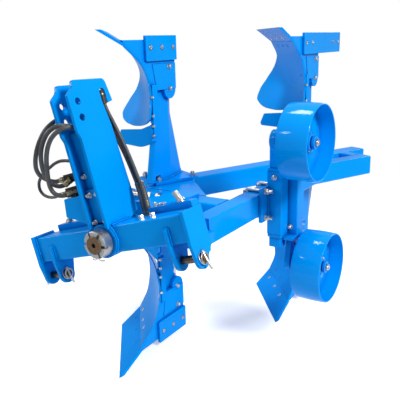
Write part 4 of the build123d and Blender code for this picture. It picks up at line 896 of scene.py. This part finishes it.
lift = add_node(tree, "ShaderNodeMath", {"operation": "MULTIPLY"}, i0=looked_at, i1=FLOOR_GLOW)
glow = add_node(tree, "ShaderNodeEmission", Strength=lift.outputs[0])
pale = add_node(tree, "ShaderNodeAddShader", i0=shader.outputs[0], i1=glow.outputs[0])
blend = add_node(tree, "ShaderNodeMixShader", i0=fade.outputs[0], i1=pale.outputs[0], i2=clear.outputs[0])
tree.links.new(blend.outputs[0], tree.nodes["Material Output"].inputs["Surface"])
floor_mesh.materials.append(floor_paint)
print("floor fades between", FADE_FROM, "and", FADE_TO, "metres")

# %% World
AMBIENT, MIRRORED = 0.24, 0.3                   # the world's strength as light and in reflections
world = bpy.data.worlds.new("studio")
bpy.context.scene.world = world
world.use_nodes = True
tree = world.node_tree
ray = add_node(tree, "ShaderNodeLightPath").outputs
mirrored = add_node(tree, "ShaderNodeMath", {"operation": "MULTIPLY"}, i0=ray["Is Glossy Ray"], i1=MIRRORED)
seen = add_node(tree, "ShaderNodeMath", {"operation": "MAXIMUM"}, i0=ray["Is Camera Ray"],
                i1=mirrored.outputs[0])
seen = add_node(tree, "ShaderNodeMath", {"operation": "MAXIMUM"}, i0=seen.outputs[0],
                i1=ray["Is Transmission Ray"])
level = add_node(tree, "ShaderNodeMapRange", Value=seen.outputs[0], i3=AMBIENT, i4=1.0)
tree.links.new(level.outputs["Result"], tree.nodes["Background"].inputs["Strength"])
tree.nodes["Background"].inputs["Color"].default_value = (1, 1, 1, 1)
print("world ready")

# %% [markdown]
# ## Lamps
# Five square area lamps. The key stands high on the land side, and the fill
# opposite it. A small bright one in front makes the window-like glints on the
# drums. One overhead lights the upper faces, and a low one behind parts the
# legs from the background.

# %% Lamps
# name: place, what it faces (both in metres from the shaft's floor point), side in metres, watts
LAMPS = {"key": ((4.0, -0.6, 3.6), (0, 0.6, 0.7), 1.1, 240),
         "fill": ((-3.8, -1.8, 2.4), (0, 0.6, 0.7), 1.3, 80),
         "window": ((-1.9, -3.4, 3.6), (0, 0.6, 0.7), 0.5, 18),
         "skylight": ((-0.7, 1.2, 4.4), (0, 0.8, 0.7), 0.8, 60),
         "low_back": ((0.6, 5.2, 2.8), (0, 0.8, 0.7), 1.6, 55)}
for name, (place, aim, size, watts) in LAMPS.items():
    light = bpy.data.lights.new(name, "AREA")
    light.shape, light.size, light.energy = "SQUARE", size, watts
    lamp = bpy.data.objects.new(name, light)
    lamp.location = HOME + np.array(place)
    lamp.rotation_euler = (Vector(aim) - Vector(place)).to_track_quat("-Z", "Y").to_euler()
    bpy.context.scene.collection.objects.link(lamp)
print("lamps:", list(LAMPS))
